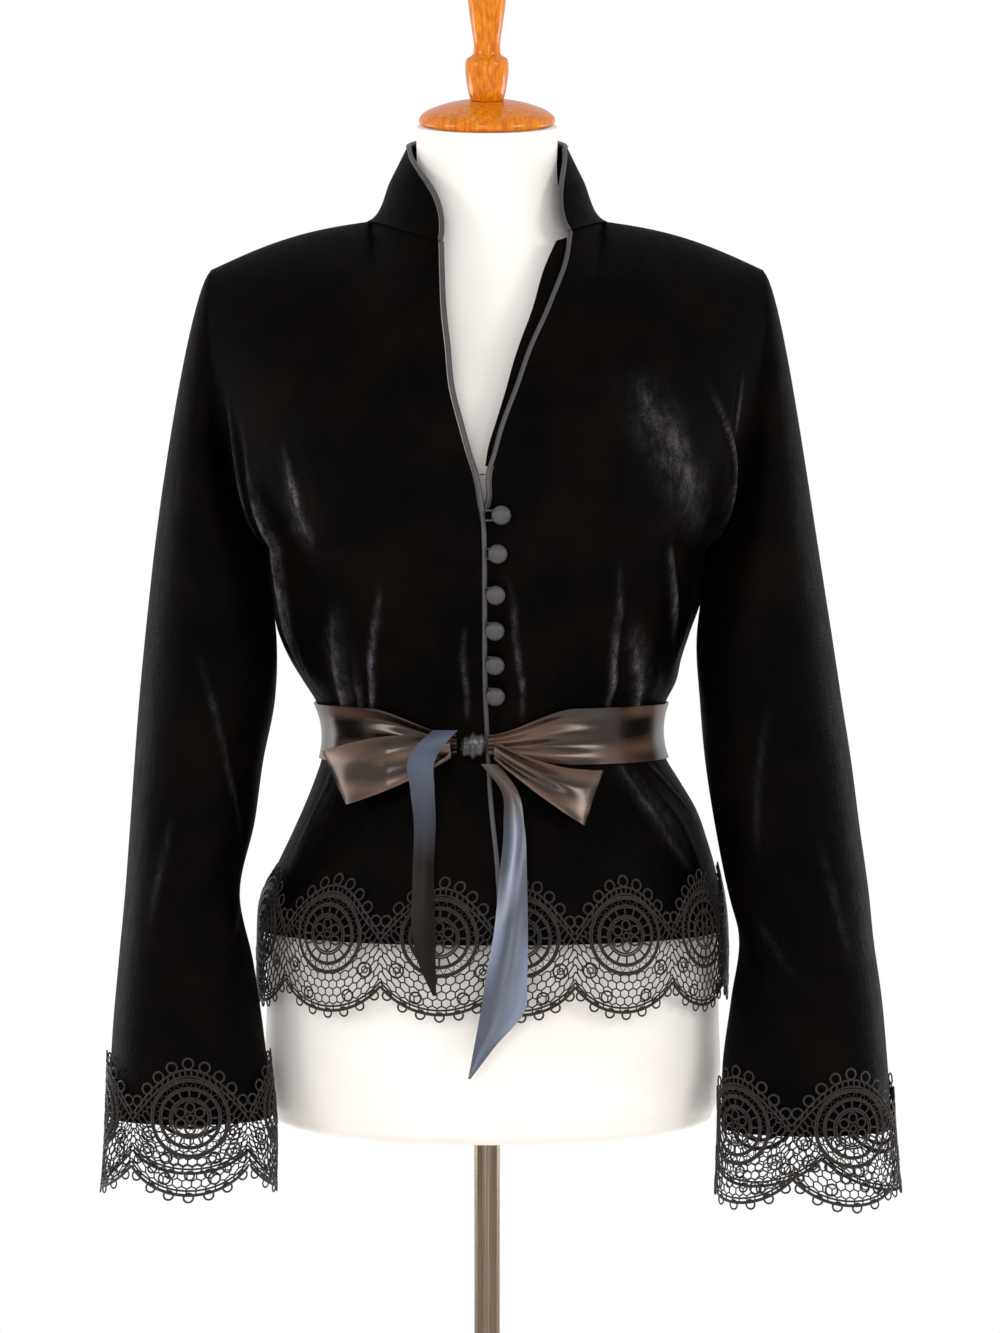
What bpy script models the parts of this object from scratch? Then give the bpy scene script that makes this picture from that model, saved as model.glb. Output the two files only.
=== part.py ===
"""Black velvet blazer with guipure lace and a satin ribbon belt, on a limbless dress form.

Metres, +Z up, the garment faces -Y, +X is the right of the picture and the left of the wearer.
The origin is the middle of the base plate's underside.
"""

import math
from collections import namedtuple

import bpy
import numpy as np
from mathutils import Vector
from mathutils.bvhtree import BVHTree
from mathutils.geometry import delaunay_2d_cdt

# Cloth thicknesses and clearances
VELVET = 0.0018
SATIN = 0.0010
LACE = 0.0012
SEAM = 0.0004
COLLAR_SEAM = 0.0020
ARMHOLE_SEAM = 0.0009
HEM_LACE_LIFT = 0.0017
CUFF_LACE_LIFT = 0.0022
BELT_LIFT = 0.0013
PIPING_RADIUS = 0.0018

# Main heights of the garment
HEM_HEIGHT = 0.912
WAIST_HEIGHT = 1.055
ARMPIT_HEIGHT = 1.188
NECK_FRONT_HEIGHT = 1.392
NECK_SIDE_HEIGHT = 1.421
NECK_BACK_HEIGHT = 1.410
SHOULDER_HEIGHT = 1.386
FRONT_EDGE_TOP = 1.404

# Plan sizes of the shoulders, armholes and neck seam
SIDE_SEAM_DEPTH = 0.010
ARMPIT_HALF_WIDTH = 0.158
SHOULDER_HALF_WIDTH = 0.199
ARMHOLE_FRONT_REACH = 0.052
ARMHOLE_BACK_REACH = 0.056
NECK_HALF_WIDTH = 0.083
NECK_CENTRE_DEPTH = 0.006
NECK_FRONT_REACH = 0.080
NECK_BACK_REACH = 0.068
NECK_SHARE = 0.31
SHOULDER_CROWN = 0.006
YOKE_RISE = 0.72
BODY_SQUARENESS = 0.035
SIDE_LIMIT = 0.999
YOKE_SLOPE_STEP = 0.02
SHOULDER_ROUNDING = 1.2
NECK_ROUNDING = 0.9
NECK_BLEND_LEAD = 0.05
NECK_BLEND_WIDTH = 0.15
SEAM_BLEND_LEAD = 0.02
SEAM_BLEND_WIDTH = 0.05
SEAM_BLEND_RISE = 0.1
NORMAL_STEP = 0.004

# Outer sections of the jacket below the armpit: half width, depth before and behind the middle, sideways lean
TorsoRow = namedtuple("TorsoRow", "height half_width front back lean")
TORSO_ROWS = (
    TorsoRow(0.8400, 0.1665, 0.1260, 0.1235, 0.004),
    TorsoRow(0.9060, 0.1678, 0.1270, 0.1240, 0.004),
    TorsoRow(0.9326, 0.1655, 0.1250, 0.1215, 0.004),
    TorsoRow(0.9542, 0.1592, 0.1205, 0.1165, 0.006),
    TorsoRow(0.9758, 0.1510, 0.1145, 0.1085, 0.008),
    TorsoRow(0.9974, 0.1422, 0.1080, 0.0995, 0.009),
    TorsoRow(1.0190, 0.1315, 0.1015, 0.0910, 0.007),
    TorsoRow(1.0340, 0.1245, 0.0975, 0.0860, 0.005),
    TorsoRow(1.0550, 0.1215, 0.0955, 0.0840, 0.004),
    TorsoRow(1.0750, 0.1262, 0.0985, 0.0860, 0.003),
    TorsoRow(1.0900, 0.1345, 0.1035, 0.0898, 0.002),
    TorsoRow(1.1060, 0.1412, 0.1098, 0.0928, -0.001),
    TorsoRow(1.1240, 0.1480, 0.1170, 0.0960, -0.002),
    TorsoRow(1.1490, 0.1545, 0.1250, 0.1000, 0.000),
    TorsoRow(1.1740, 0.1572, 0.1300, 0.1025, 0.000),
    TorsoRow(1.1880, 0.1580, 0.1305, 0.1035, 0.000),
)

# Centre lines above the armpit, by share of the rise to the shoulder seam
UpperRow = namedtuple("UpperRow", "rise height depth roundness")
UPPER_FRONT = (
    UpperRow(0.00, 1.1880, 0.1305, 1.00),
    UpperRow(0.20, 1.2320, 0.1285, 0.85),
    UpperRow(0.40, 1.2760, 0.1195, 0.62),
    UpperRow(0.60, 1.3180, 0.1065, 0.45),
    UpperRow(0.72, 1.3420, 0.0980, 0.36),
)
UPPER_BACK = (
    UpperRow(0.00, 1.1880, 0.1035, 1.00),
    UpperRow(0.20, 1.2330, 0.1060, 0.90),
    UpperRow(0.40, 1.2780, 0.1070, 0.80),
    UpperRow(0.60, 1.3220, 0.1040, 0.65),
    UpperRow(0.72, 1.3480, 0.1000, 0.55),
)

# Front edges of the two fronts: sideways place by height, the left front tucked under the right one
EdgeRow = namedtuple("EdgeRow", "height right_front left_front")
EDGE_ROWS = (
    EdgeRow(0.840, 0.0090, 0.0030),
    EdgeRow(0.920, 0.0073, 0.0013),
    EdgeRow(0.964, 0.0052, -0.0010),
    EdgeRow(1.012, 0.0003, -0.0058),
    EdgeRow(1.050, -0.0018, -0.0080),
    EdgeRow(1.081, -0.0032, -0.0094),
    EdgeRow(1.160, -0.0037, -0.0100),
    EdgeRow(1.190, -0.0039, -0.0096),
    EdgeRow(1.205, -0.0046, -0.0040),
    EdgeRow(1.216, -0.0060, 0.0026),
    EdgeRow(1.238, -0.0099, 0.0040),
    EdgeRow(1.248, -0.0133, 0.0072),
    EdgeRow(1.268, -0.0189, 0.0128),
    EdgeRow(1.296, -0.0260, 0.0230),
    EdgeRow(1.328, -0.0292, 0.0338),
    EdgeRow(1.360, -0.0325, 0.0465),
    EdgeRow(1.380, -0.0335, 0.0550),
    EdgeRow(1.404, -0.0343, 0.0588),
)
# Facing of the left front, which shows inside its piped edge in the V
FacingRow = namedtuple("FacingRow", "height edge")
FACING_ROWS = (
    FacingRow(1.2430, -0.0008),
    FacingRow(1.2545, 0.0010),
    FacingRow(1.2754, 0.0073),
    FacingRow(1.2963, 0.0135),
    FacingRow(1.3175, 0.0191),
    FacingRow(1.3390, 0.0260),
    FacingRow(1.3600, 0.0337),
    FacingRow(1.3820, 0.0420),
    FacingRow(1.3980, 0.0510),
)
FACING_LAP = 0.0100
FACING_SET_BACK = 0.0034
FACING_THICKNESS = 0.0012

# Step of the left front under the right front's edge
TUCK_DEPTH = 0.0042
TUCK_HOLD = 0.0050
TUCK_FADE = 0.0150
TUCK_TOP = 1.238
TUCK_RISE = 0.026
EDGE_CROWDING = 1.6

# Bust fullness on each front
BUST_ACROSS = 0.42
BUST_SPREAD = 0.24
BUST_HEIGHT = 1.200
BUST_LENGTH = 0.060
BUST_FULLNESS = 0.006

# Largest folds of the fronts and back: where each runs, half width, stand, where it is strongest
Fold = namedtuple("Fold", "across_low height_low across_high height_high width stand peak")
RIGHT_FRONT_FOLDS = (
    Fold(-0.52, 1.076, -0.34, 1.185, 0.055, 0.0034, 0.25),
    Fold(-0.73, 1.076, -0.52, 1.165, 0.060, 0.0036, 0.30),
    Fold(-0.84, 1.080, -0.76, 1.290, 0.052, 0.0036, 0.40),
    Fold(-0.70, 0.930, -0.66, 1.034, 0.060, 0.0036, 0.60),
    Fold(-0.36, 0.940, -0.46, 1.034, 0.055, 0.0026, 0.70),
)
LEFT_FRONT_FOLDS = (
    Fold(0.46, 1.076, 0.38, 1.180, 0.055, 0.0036, 0.25),
    Fold(0.64, 1.076, 0.50, 1.150, 0.055, 0.0034, 0.30),
    Fold(0.80, 1.080, 0.62, 1.200, 0.055, 0.0038, 0.45),
    Fold(0.84, 1.140, 0.80, 1.310, 0.050, 0.0034, 0.50),
    Fold(0.74, 0.930, 0.54, 1.034, 0.060, 0.0038, 0.60),
)
BACK_FOLDS = (
    Fold(-0.62, 1.076, -0.52, 1.190, 0.050, 0.0034, 0.30),
    Fold(-0.30, 1.076, -0.24, 1.170, 0.050, 0.0030, 0.30),
    Fold(0.34, 1.076, 0.28, 1.180, 0.050, 0.0032, 0.30),
    Fold(0.66, 1.076, 0.55, 1.165, 0.050, 0.0034, 0.30),
    Fold(-0.44, 0.930, -0.40, 1.034, 0.055, 0.0034, 0.60),
    Fold(0.48, 0.930, 0.42, 1.034, 0.055, 0.0034, 0.60),
)

# Rows of cloth up the panels and columns across them
PANEL_HEIGHTS = (0.912, 0.934, 0.955, 0.976, 0.997, 1.016, 1.034, 1.055, 1.076, 1.091, 1.110, 1.134, 1.160)
UPPER_RISES = (0.0, 0.11, 0.22, 0.34, 0.46, 0.58, 0.70, 0.81, 0.91, 1.0)
FRONT_COLUMNS = 13
BACK_COLUMNS = 20

# Sleeves below the armpit: nearest and farthest place from the middle, how far forward, half depth
SleeveRow = namedtuple("SleeveRow", "height inner outer forward half_depth")
RIGHT_SLEEVE_ROWS = (
    SleeveRow(0.7100, 0.1520, 0.2712, 0.072, 0.047),
    SleeveRow(0.7815, 0.1515, 0.2668, 0.066, 0.047),
    SleeveRow(0.8381, 0.1575, 0.2655, 0.058, 0.048),
    SleeveRow(0.8935, 0.1662, 0.2615, 0.048, 0.048),
    SleeveRow(0.9389, 0.1760, 0.2577, 0.040, 0.048),
    SleeveRow(0.9917, 0.1656, 0.2543, 0.032, 0.050),
    SleeveRow(1.0341, 0.1599, 0.2517, 0.026, 0.052),
    SleeveRow(1.0768, 0.1517, 0.2486, 0.023, 0.055),
    SleeveRow(1.1198, 0.1507, 0.2451, 0.015, 0.058),
    SleeveRow(1.1651, 0.1564, 0.2409, 0.006, 0.061),
)
LEFT_SLEEVE_ROWS = (
    SleeveRow(0.7010, 0.1630, 0.2930, 0.070, 0.047),
    SleeveRow(0.7730, 0.1660, 0.2870, 0.063, 0.047),
    SleeveRow(0.8235, 0.1675, 0.2840, 0.056, 0.047),
    SleeveRow(0.8651, 0.1735, 0.2808, 0.049, 0.047),
    SleeveRow(0.9140, 0.1790, 0.2745, 0.042, 0.047),
    SleeveRow(0.9350, 0.1735, 0.2727, 0.039, 0.047),
    SleeveRow(0.9914, 0.1623, 0.2655, 0.031, 0.049),
    SleeveRow(1.0340, 0.1560, 0.2603, 0.026, 0.051),
    SleeveRow(1.0767, 0.1523, 0.2537, 0.023, 0.054),
    SleeveRow(1.1197, 0.1502, 0.2477, 0.015, 0.057),
    SleeveRow(1.1651, 0.1561, 0.2411, 0.006, 0.060),
)
CAP_SHARES = (0.0, 0.08, 0.20, 0.36, 0.55, 0.77)
CAP_REACH_TOP = 0.036
CAP_REACH_ARMPIT = 0.010
CAP_SLOPE_STEP = 0.02
CAP_FULLNESS = 1.15
RIGHT_CUFF_HEIGHT = 0.7850
LEFT_CUFF_HEIGHT = 0.7765
SLEEVE_HEIGHTS = (1.1651, 1.142, 1.118, 1.092, 1.064, 1.032, 1.000, 0.968, 0.944, 0.922, 0.894, 0.858, 0.815)

# Largest folds of the sleeves: angle round the arm from the outer side by way of the front
RIGHT_SLEEVE_FOLDS = (
    Fold(2.55, 0.930, 1.15, 1.140, 0.32, 0.0038, 0.55),
    Fold(2.10, 0.850, 2.75, 0.960, 0.30, 0.0036, 0.60),
    Fold(4.60, 0.930, 5.20, 1.140, 0.32, 0.0034, 0.50),
)
LEFT_SLEEVE_FOLDS = (
    Fold(2.45, 0.930, 1.40, 1.120, 0.32, 0.0032, 0.50),
    Fold(1.90, 0.840, 2.70, 0.940, 0.30, 0.0036, 0.60),
    Fold(4.40, 0.930, 5.10, 1.130, 0.32, 0.0034, 0.50),
)

# Stand collar: ring at its top edge, and how far round from the front each front edge starts
COLLAR_TOP_HALF_WIDTH = 0.0585
COLLAR_TOP_CENTRE_DEPTH = 0.014
COLLAR_TOP_FRONT_REACH = 0.056
COLLAR_TOP_BACK_REACH = 0.060
COLLAR_TOP_HEIGHT = 1.462
COLLAR_BACK_RISE = 0.022
COLLAR_RIGHT_FRONT_BASE = math.radians(24.4)
COLLAR_RIGHT_FRONT_TOP = math.radians(80.0)
COLLAR_LEFT_FRONT_BASE = math.radians(45.1)
COLLAR_LEFT_FRONT_TOP = math.radians(80.0)
COLLAR_CORNER_POWER = 2.5
COLLAR_COLUMNS = 22
COLLAR_RISES = (0.0, 0.34, 0.62, 0.84, 1.0)
COLLAR_PIPING_START = 0.06
PIPING_SIDES = 5
FRONT_PIPING_RISE = 0.985

# Satin-covered buttons down the left front, and the hook bar at the bottom of the V
ButtonRow = namedtuple("ButtonRow", "name across height")
BUTTON_ROWS = (
    ButtonRow("button_1", 0.0100, 1.2090),
    ButtonRow("button_2", 0.0076, 1.1830),
    ButtonRow("button_3", 0.0062, 1.1555),
    ButtonRow("button_4", 0.0056, 1.1310),
    ButtonRow("button_5", 0.0056, 1.1070),
    ButtonRow("button_6", 0.0060, 1.0850),
)
BUTTON_RADIUS = 0.0066
BUTTON_SIDES = 8
BUTTON_SEEK = 0.03
ButtonRing = namedtuple("ButtonRing", "radius_share rise")
BUTTON_RINGS = (
    ButtonRing(0.30, 0.0000),
    ButtonRing(0.30, 0.0044),
    ButtonRing(0.90, 0.0048),
    ButtonRing(1.00, 0.0066),
    ButtonRing(0.84, 0.0092),
    ButtonRing(0.48, 0.0106),
)
HOOK_HEIGHT = 1.2375
HOOK_RADIUS = 0.0006
HOOK_SIDES = 6

# Ribbon belt, drawn in at the knot
RIBBON_WIDTH = 0.041
KNOT_ACROSS = -0.0095
KNOT_HEIGHT = 1.0495
KNOT_HALF_WIDTH = 0.0085
KNOT_HALF_HEIGHT = 0.0100
KNOT_HALF_DEPTH = 0.0060
KNOT_STAND = 0.0135
KNOT_SIDES = 10
KNOT_RINGS = 6
KNOT_CUT = 1.15
BELT_COLUMNS = 36
BELT_GATHER = 0.062
BELT_KNOT_HALF_WIDTH = 0.0075
BELT_KNOT_GAP = 0.055
BELT_KNOT_CLEAR = 0.008
BELT_KNOT_RISE = 0.0035
WAIST_HALF_WIDTH = 0.1215
WAIST_LEAN = 0.004
WAIST_QUARTER = 0.19

# Bow loops: ends of the upper and lower edge of each loop, and the bow of those edges
LoopRow = namedtuple("LoopRow", "name upper_x upper_z lower_x lower_z upper_bow lower_bow puff")
LOOP_ROWS = (
    LoopRow("bow_loop_right", -0.1155, 1.0440, -0.0985, 1.0075, 0.0060, -0.0030, 0.0085),
    LoopRow("bow_loop_left", 0.0815, 1.0315, 0.0680, 0.9945, -0.0060, -0.0020, 0.0085),
)
LOOP_STATIONS = 13
LOOP_ACROSS = 4
LOOP_LEAN_START = 0.070
LOOP_LEAN_SLOPE = 0.30
LOOP_ROOT_HALF_HEIGHT = 0.0055
LOOP_STAND = 0.0140
LOOP_ROOT_TURN = 0.06
LOOP_ROOT_GAP = 0.0020
LOOP_EDGE_PUFF = 0.35
LOOP_LAYER_GAP = 0.0012

# Bow tails: left and right edge by height, and how far each stands off the jacket
TailRow = namedtuple("TailRow", "height left right left_stand right_stand")
TAIL_ON_LEFT = (
    TailRow(1.0580, -0.0410, -0.0230, 0.0255, 0.0245),
    TailRow(1.0415, -0.0540, -0.0350, 0.0262, 0.0255),
    TailRow(1.0200, -0.0530, -0.0360, 0.0250, 0.0235),
    TailRow(1.0000, -0.0505, -0.0352, 0.0230, 0.0150),
    TailRow(0.9600, -0.0510, -0.0365, 0.0200, 0.0090),
    TailRow(0.9200, -0.0510, -0.0352, 0.0180, 0.0080),
    TailRow(0.9010, -0.0470, -0.0350, 0.0150, 0.0080),
    TailRow(0.8780, -0.0370, -0.0346, 0.0110, 0.0090),
)
TAIL_ON_RIGHT = (
    TailRow(1.0370, -0.0040, 0.0080, 0.0150, 0.0150),
    TailRow(1.0200, 0.0095, 0.0210, 0.0160, 0.0220),
    TailRow(0.9950, 0.0118, 0.0262, 0.0110, 0.0220),
    TailRow(0.9576, 0.0087, 0.0280, 0.0085, 0.0180),
    TailRow(0.9225, 0.0052, 0.0286, 0.0085, 0.0145),
    TailRow(0.8873, -0.0010, 0.0280, 0.0085, 0.0120),
    TailRow(0.8687, -0.0038, 0.0268, 0.0090, 0.0110),
    TailRow(0.8430, -0.0085, 0.0060, 0.0100, 0.0100),
    TailRow(0.8205, -0.0127, -0.0110, 0.0100, 0.0100),
)
TAIL_ACROSS = 5
TAIL_CURL = 0.0035
TAIL_CURL_WIDTH = 0.02

# Guipure lace: one repeat, measured from the velvet edge
HEM_REPEATS_LEFT = 4
HEM_REPEATS_BACK = 6
HEM_REPEATS_RIGHT = 3
HEM_LEFT_REPEAT = 0.075
HEM_LEFT_CUT_STEPS = 2
HEM_LEFT_CUT_GAP = 0.0016
CUFF_REPEATS_FRONT = 2
CUFF_REPEATS_BACK = 2
LACE_CUSP_DROP = 0.029
LACE_SCALLOP_DROP = 0.048
LACE_VALLEY_RISE = 0.015
LACE_PEAK_RISE = 0.046
LACE_EDGE_STEPS = 6
MEDALLION_RISE = 0.005
ROSETTE_RADIUS = 0.0084
ROSETTE_GAPS = 6
GAP_RADIUS = 0.0032
GAP_SIDES = 4
CUT_EDGE_MARGIN = 0.0042
EYELET_SHARE = 0.36
EYELET_DROP = 0.018
LACE_CLOSURE_GAP = 0.0006
HEM_LEAN = 0.004
HEM_HALF_WIDTH = 0.1678
RIGHT_CUFF_JOIN_TURN = -0.245 * math.pi
LEFT_CUFF_JOIN_TURN = 0.09 * math.pi
HemStrip = namedtuple("HemStrip", "name repeats start end cut_steps")
LacePoint = namedtuple("LacePoint", "share rise")
LACE_POINTS = (
    LacePoint(-0.27, 0.010),
    LacePoint(0.27, 0.010),
    LacePoint(-0.17, -0.026),
    LacePoint(0.17, -0.026),
)

# Dress form: half width, depths before and behind, set-back of the middle
FormRow = namedtuple("FormRow", "height half_width front back lean")
FORM_ROWS = (
    FormRow(0.7690, 0.1400, 0.0980, 0.0960, 0.004),
    FormRow(0.7725, 0.1515, 0.1070, 0.1050, 0.004),
    FormRow(0.7820, 0.1595, 0.1130, 0.1105, 0.004),
    FormRow(0.8000, 0.1632, 0.1165, 0.1135, 0.004),
    FormRow(0.8500, 0.1632, 0.1170, 0.1140, 0.004),
    FormRow(0.9060, 0.1610, 0.1150, 0.1130, 0.004),
    FormRow(0.9480, 0.1530, 0.1105, 0.1080, 0.005),
    FormRow(0.9900, 0.1365, 0.0995, 0.0930, 0.008),
    FormRow(1.0280, 0.1190, 0.0895, 0.0800, 0.006),
    FormRow(1.0550, 0.1135, 0.0860, 0.0760, 0.004),
    FormRow(1.0850, 0.1215, 0.0915, 0.0795, 0.001),
    FormRow(1.1240, 0.1390, 0.1050, 0.0875, 0.000),
    FormRow(1.1740, 0.1480, 0.1185, 0.0940, 0.000),
    FormRow(1.2300, 0.1500, 0.1130, 0.0965, 0.000),
    FormRow(1.2900, 0.1530, 0.0960, 0.0950, 0.000),
    FormRow(1.3350, 0.1520, 0.0790, 0.0880, 0.000),
    FormRow(1.3600, 0.1430, 0.0680, 0.0800, 0.000),
    FormRow(1.3780, 0.1200, 0.0600, 0.0720, 0.000),
    FormRow(1.3920, 0.0920, 0.0540, 0.0660, 0.000),
    FormRow(1.4080, 0.0680, 0.0480, 0.0620, 0.000),
    FormRow(1.4350, 0.0540, 0.0420, 0.0610, 0.000),
    FormRow(1.4900, 0.0505, 0.0405, 0.0605, 0.000),
)
FORM_SIDES = 24
NECK_TOP_DEPTH = 0.010
NECK_TOP_HEIGHT = 1.490
NECK_TILT = math.radians(12.0)
NECK_TILT_START = 1.430

# Turned wooden cap and finial on the tilted neck: radius by height above the neck's top
TurnedRow = namedtuple("TurnedRow", "radius height")
CAP_ROWS = (
    TurnedRow(0.0470, 0.0004),
    TurnedRow(0.0488, 0.0020),
    TurnedRow(0.0488, 0.0052),
    TurnedRow(0.0455, 0.0088),
    TurnedRow(0.0360, 0.0132),
    TurnedRow(0.0240, 0.0166),
    TurnedRow(0.0150, 0.0180),
)
FINIAL_ROWS = (
    TurnedRow(0.0120, 0.0184),
    TurnedRow(0.0132, 0.0230),
    TurnedRow(0.0148, 0.0320),
    TurnedRow(0.0155, 0.0415),
    TurnedRow(0.0146, 0.0475),
    TurnedRow(0.0100, 0.0510),
    TurnedRow(0.0094, 0.0550),
    TurnedRow(0.0108, 0.0680),
    TurnedRow(0.0128, 0.0820),
    TurnedRow(0.0140, 0.0960),
    TurnedRow(0.0138, 0.1100),
    TurnedRow(0.0112, 0.1220),
    TurnedRow(0.0060, 0.1290),
)
TURNED_SIDES = 16

# Steel pole and base plate
POLE_RADIUS = 0.0092
POLE_SIDES = 16
POLE_FOOT = 0.0424
POLE_HEAD = 0.7686
BASE_ROWS = (
    TurnedRow(0.1700, 0.0000),
    TurnedRow(0.1700, 0.0080),
    TurnedRow(0.1660, 0.0120),
    TurnedRow(0.0200, 0.0140),
    TurnedRow(0.0180, 0.0400),
    TurnedRow(0.0160, 0.0420),
)
BASE_SIDES = 28

# Finishes: colour, roughness, metallic
Finish = namedtuple("Finish", "colour roughness metallic")
FINISHES = {
    "velvet": Finish((0.012, 0.012, 0.013), 0.9, 0.0),
    "satin": Finish((0.130, 0.095, 0.078), 0.38, 0.0),
    "slate_satin": Finish((0.085, 0.100, 0.125), 0.38, 0.0),
    "charcoal_satin": Finish((0.045, 0.040, 0.042), 0.38, 0.0),
    "lace": Finish((0.028, 0.024, 0.022), 0.8, 0.0),
    "jersey": Finish((0.900, 0.875, 0.840), 0.85, 0.0),
    "amber_wood": Finish((0.480, 0.130, 0.012), 0.22, 0.0),
    "steel": Finish((0.420, 0.400, 0.370), 0.32, 1.0),
    "wire": Finish((0.120, 0.110, 0.105), 0.40, 1.0),
}


def follow(rows, key, column, at):
    """Smooth curve through one column of a table, read at an array of keys."""
    keys = np.array([getattr(row, key) for row in rows])
    values = np.array([getattr(row, column) for row in rows])
    slopes = np.gradient(values, keys)
    at = np.clip(np.asarray(at, dtype=float), keys[0], keys[-1])
    span = np.clip(np.searchsorted(keys, at, side="right") - 1, 0, len(keys) - 2)
    width = keys[span + 1] - keys[span]
    share = (at - keys[span]) / width
    return hermite(values[span], slopes[span] * width, values[span + 1], slopes[span + 1] * width, share)


def hermite(start, start_slope, end, end_slope, share):
    """Cubic from start to end with the given slopes."""
    square = share * share
    cube = square * share
    first = (2 * cube - 3 * square + 1) * start + (cube - 2 * square + share) * start_slope
    return first + (3 * square - 2 * cube) * end + (cube - square) * end_slope


def ease(value):
    """Smooth step from 0 to 1."""
    value = np.clip(value, 0.0, 1.0)
    return value * value * (3 - 2 * value)


def unit(vectors):
    """Vectors scaled to length one."""
    return vectors / np.maximum(np.linalg.norm(vectors, axis=-1, keepdims=True), 1e-12)


def level_of(height):
    """Level on the body: metres below the armpit as a negative, above it the share of the shoulder's rise."""
    rise = np.asarray(height, dtype=float) - ARMPIT_HEIGHT
    return np.where(rise < 0, rise, rise / (FRONT_EDGE_TOP - ARMPIT_HEIGHT))


def height_of(level):
    """Height near the front edge for a level."""
    level = np.asarray(level, dtype=float)
    return ARMPIT_HEIGHT + np.where(level < 0, level, level * (FRONT_EDGE_TOP - ARMPIT_HEIGHT))


def armhole(rise, face):
    """Armhole seam from the armpit (0) to the shoulder tip (1), on the front (-1) or back (+1)."""
    turn = math.pi * (1 - rise)
    middle = 0.5 * (SHOULDER_HEIGHT + ARMPIT_HEIGHT)
    reach = ARMHOLE_FRONT_REACH if face < 0 else ARMHOLE_BACK_REACH
    spread = np.sqrt(1 - (0.5 * (1 - np.cos(turn))) ** 2)
    width = ARMPIT_HALF_WIDTH + (SHOULDER_HALF_WIDTH - ARMPIT_HALF_WIDTH) * spread
    depth = SIDE_SEAM_DEPTH + face * reach * np.sin(turn)
    height = middle + (SHOULDER_HEIGHT - middle) * np.cos(turn)
    return width, depth, height


def body_row(across, level, face):
    """Point of a body row below the yoke: a half ellipse that flattens towards the armhole."""
    below = level < 0
    rise = np.clip(level, 0, YOKE_RISE)
    upper = UPPER_FRONT if face < 0 else UPPER_BACK
    low_height = ARMPIT_HEIGHT + np.minimum(level, 0)
    hole_width, hole_depth, hole_height = armhole(rise, face)
    half_width = np.where(below, follow(TORSO_ROWS, "height", "half_width", low_height), hole_width)
    side_depth = np.where(below, SIDE_SEAM_DEPTH, hole_depth)
    side_height = np.where(below, low_height, hole_height)
    low_depth = follow(TORSO_ROWS, "height", "front" if face < 0 else "back", low_height)
    depth = face * np.where(below, low_depth, follow(upper, "rise", "depth", rise))
    height = np.where(below, low_height, follow(upper, "rise", "height", rise))
    round_share = np.where(below, 1.0, follow(upper, "rise", "roundness", rise))
    lean = np.where(below, follow(TORSO_ROWS, "height", "lean", low_height), 0.0)
    angle = across * math.pi / 2
    swell = 1 + BODY_SQUARENESS * round_share * np.sin(2 * angle) ** 2
    x = half_width * (round_share * np.sin(angle) + (1 - round_share) * across) * swell
    bend = round_share * (1 - np.cos(angle)) + (1 - round_share) * across ** 2
    y = SIDE_SEAM_DEPTH + (depth + (side_depth - depth) * bend - SIDE_SEAM_DEPTH) * swell
    z = height + (side_height - height) * across ** 2
    return np.stack([lean + x, y, z], axis=-1)


def top_row(across, face):
    """Neck seam from the middle to the neck point, then the shoulder seam out to its tip."""
    size = np.abs(across)
    turn = np.minimum(size / NECK_SHARE, 1) * math.pi / 2
    reach = NECK_FRONT_REACH if face < 0 else NECK_BACK_REACH
    middle_height = NECK_FRONT_HEIGHT if face < 0 else NECK_BACK_HEIGHT
    out = np.clip((size - NECK_SHARE) / (1 - NECK_SHARE), 0, None)
    x = NECK_HALF_WIDTH * np.sin(turn) + (SHOULDER_HALF_WIDTH - NECK_HALF_WIDTH) * out
    y = NECK_CENTRE_DEPTH + face * reach * np.cos(turn) + (SIDE_SEAM_DEPTH - NECK_CENTRE_DEPTH) * out
    z = middle_height + (NECK_SIDE_HEIGHT - middle_height) * np.sin(turn)
    z = z + (SHOULDER_HEIGHT - NECK_SIDE_HEIGHT) * out + SHOULDER_CROWN * np.sin(math.pi * np.clip(out, 0, 1))
    return np.stack([np.sign(across) * x, y, z], axis=-1)


def body_point(across, level, face):
    """Outer surface of the jacket body without folds: rows, then a yoke that rounds over to the shoulder."""
    across, level = np.broadcast_arrays(np.asarray(across, dtype=float), np.asarray(level, dtype=float))
    row = body_row(across, level, face)
    yoke = body_row(across, np.full_like(across, YOKE_RISE), face)
    before = body_row(across, np.full_like(across, YOKE_RISE - YOKE_SLOPE_STEP), face)
    start_slope = (yoke - before) / YOKE_SLOPE_STEP * (1 - YOKE_RISE)
    top = top_row(across, face)
    on_shoulder = ease((np.abs(across) - NECK_SHARE + NECK_BLEND_LEAD) / NECK_BLEND_WIDTH)[..., None]
    over = np.zeros_like(top)
    over[..., 1] = SHOULDER_ROUNDING * (top[..., 1] - yoke[..., 1])
    end_slope = on_shoulder * over + (1 - on_shoulder) * NECK_ROUNDING * (top - yoke)
    share = np.clip((level - YOKE_RISE) / (1 - YOKE_RISE), 0, None)[..., None]
    return np.where(share > 0, hermite(yoke, start_slope, top, end_slope, share), row)


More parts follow.
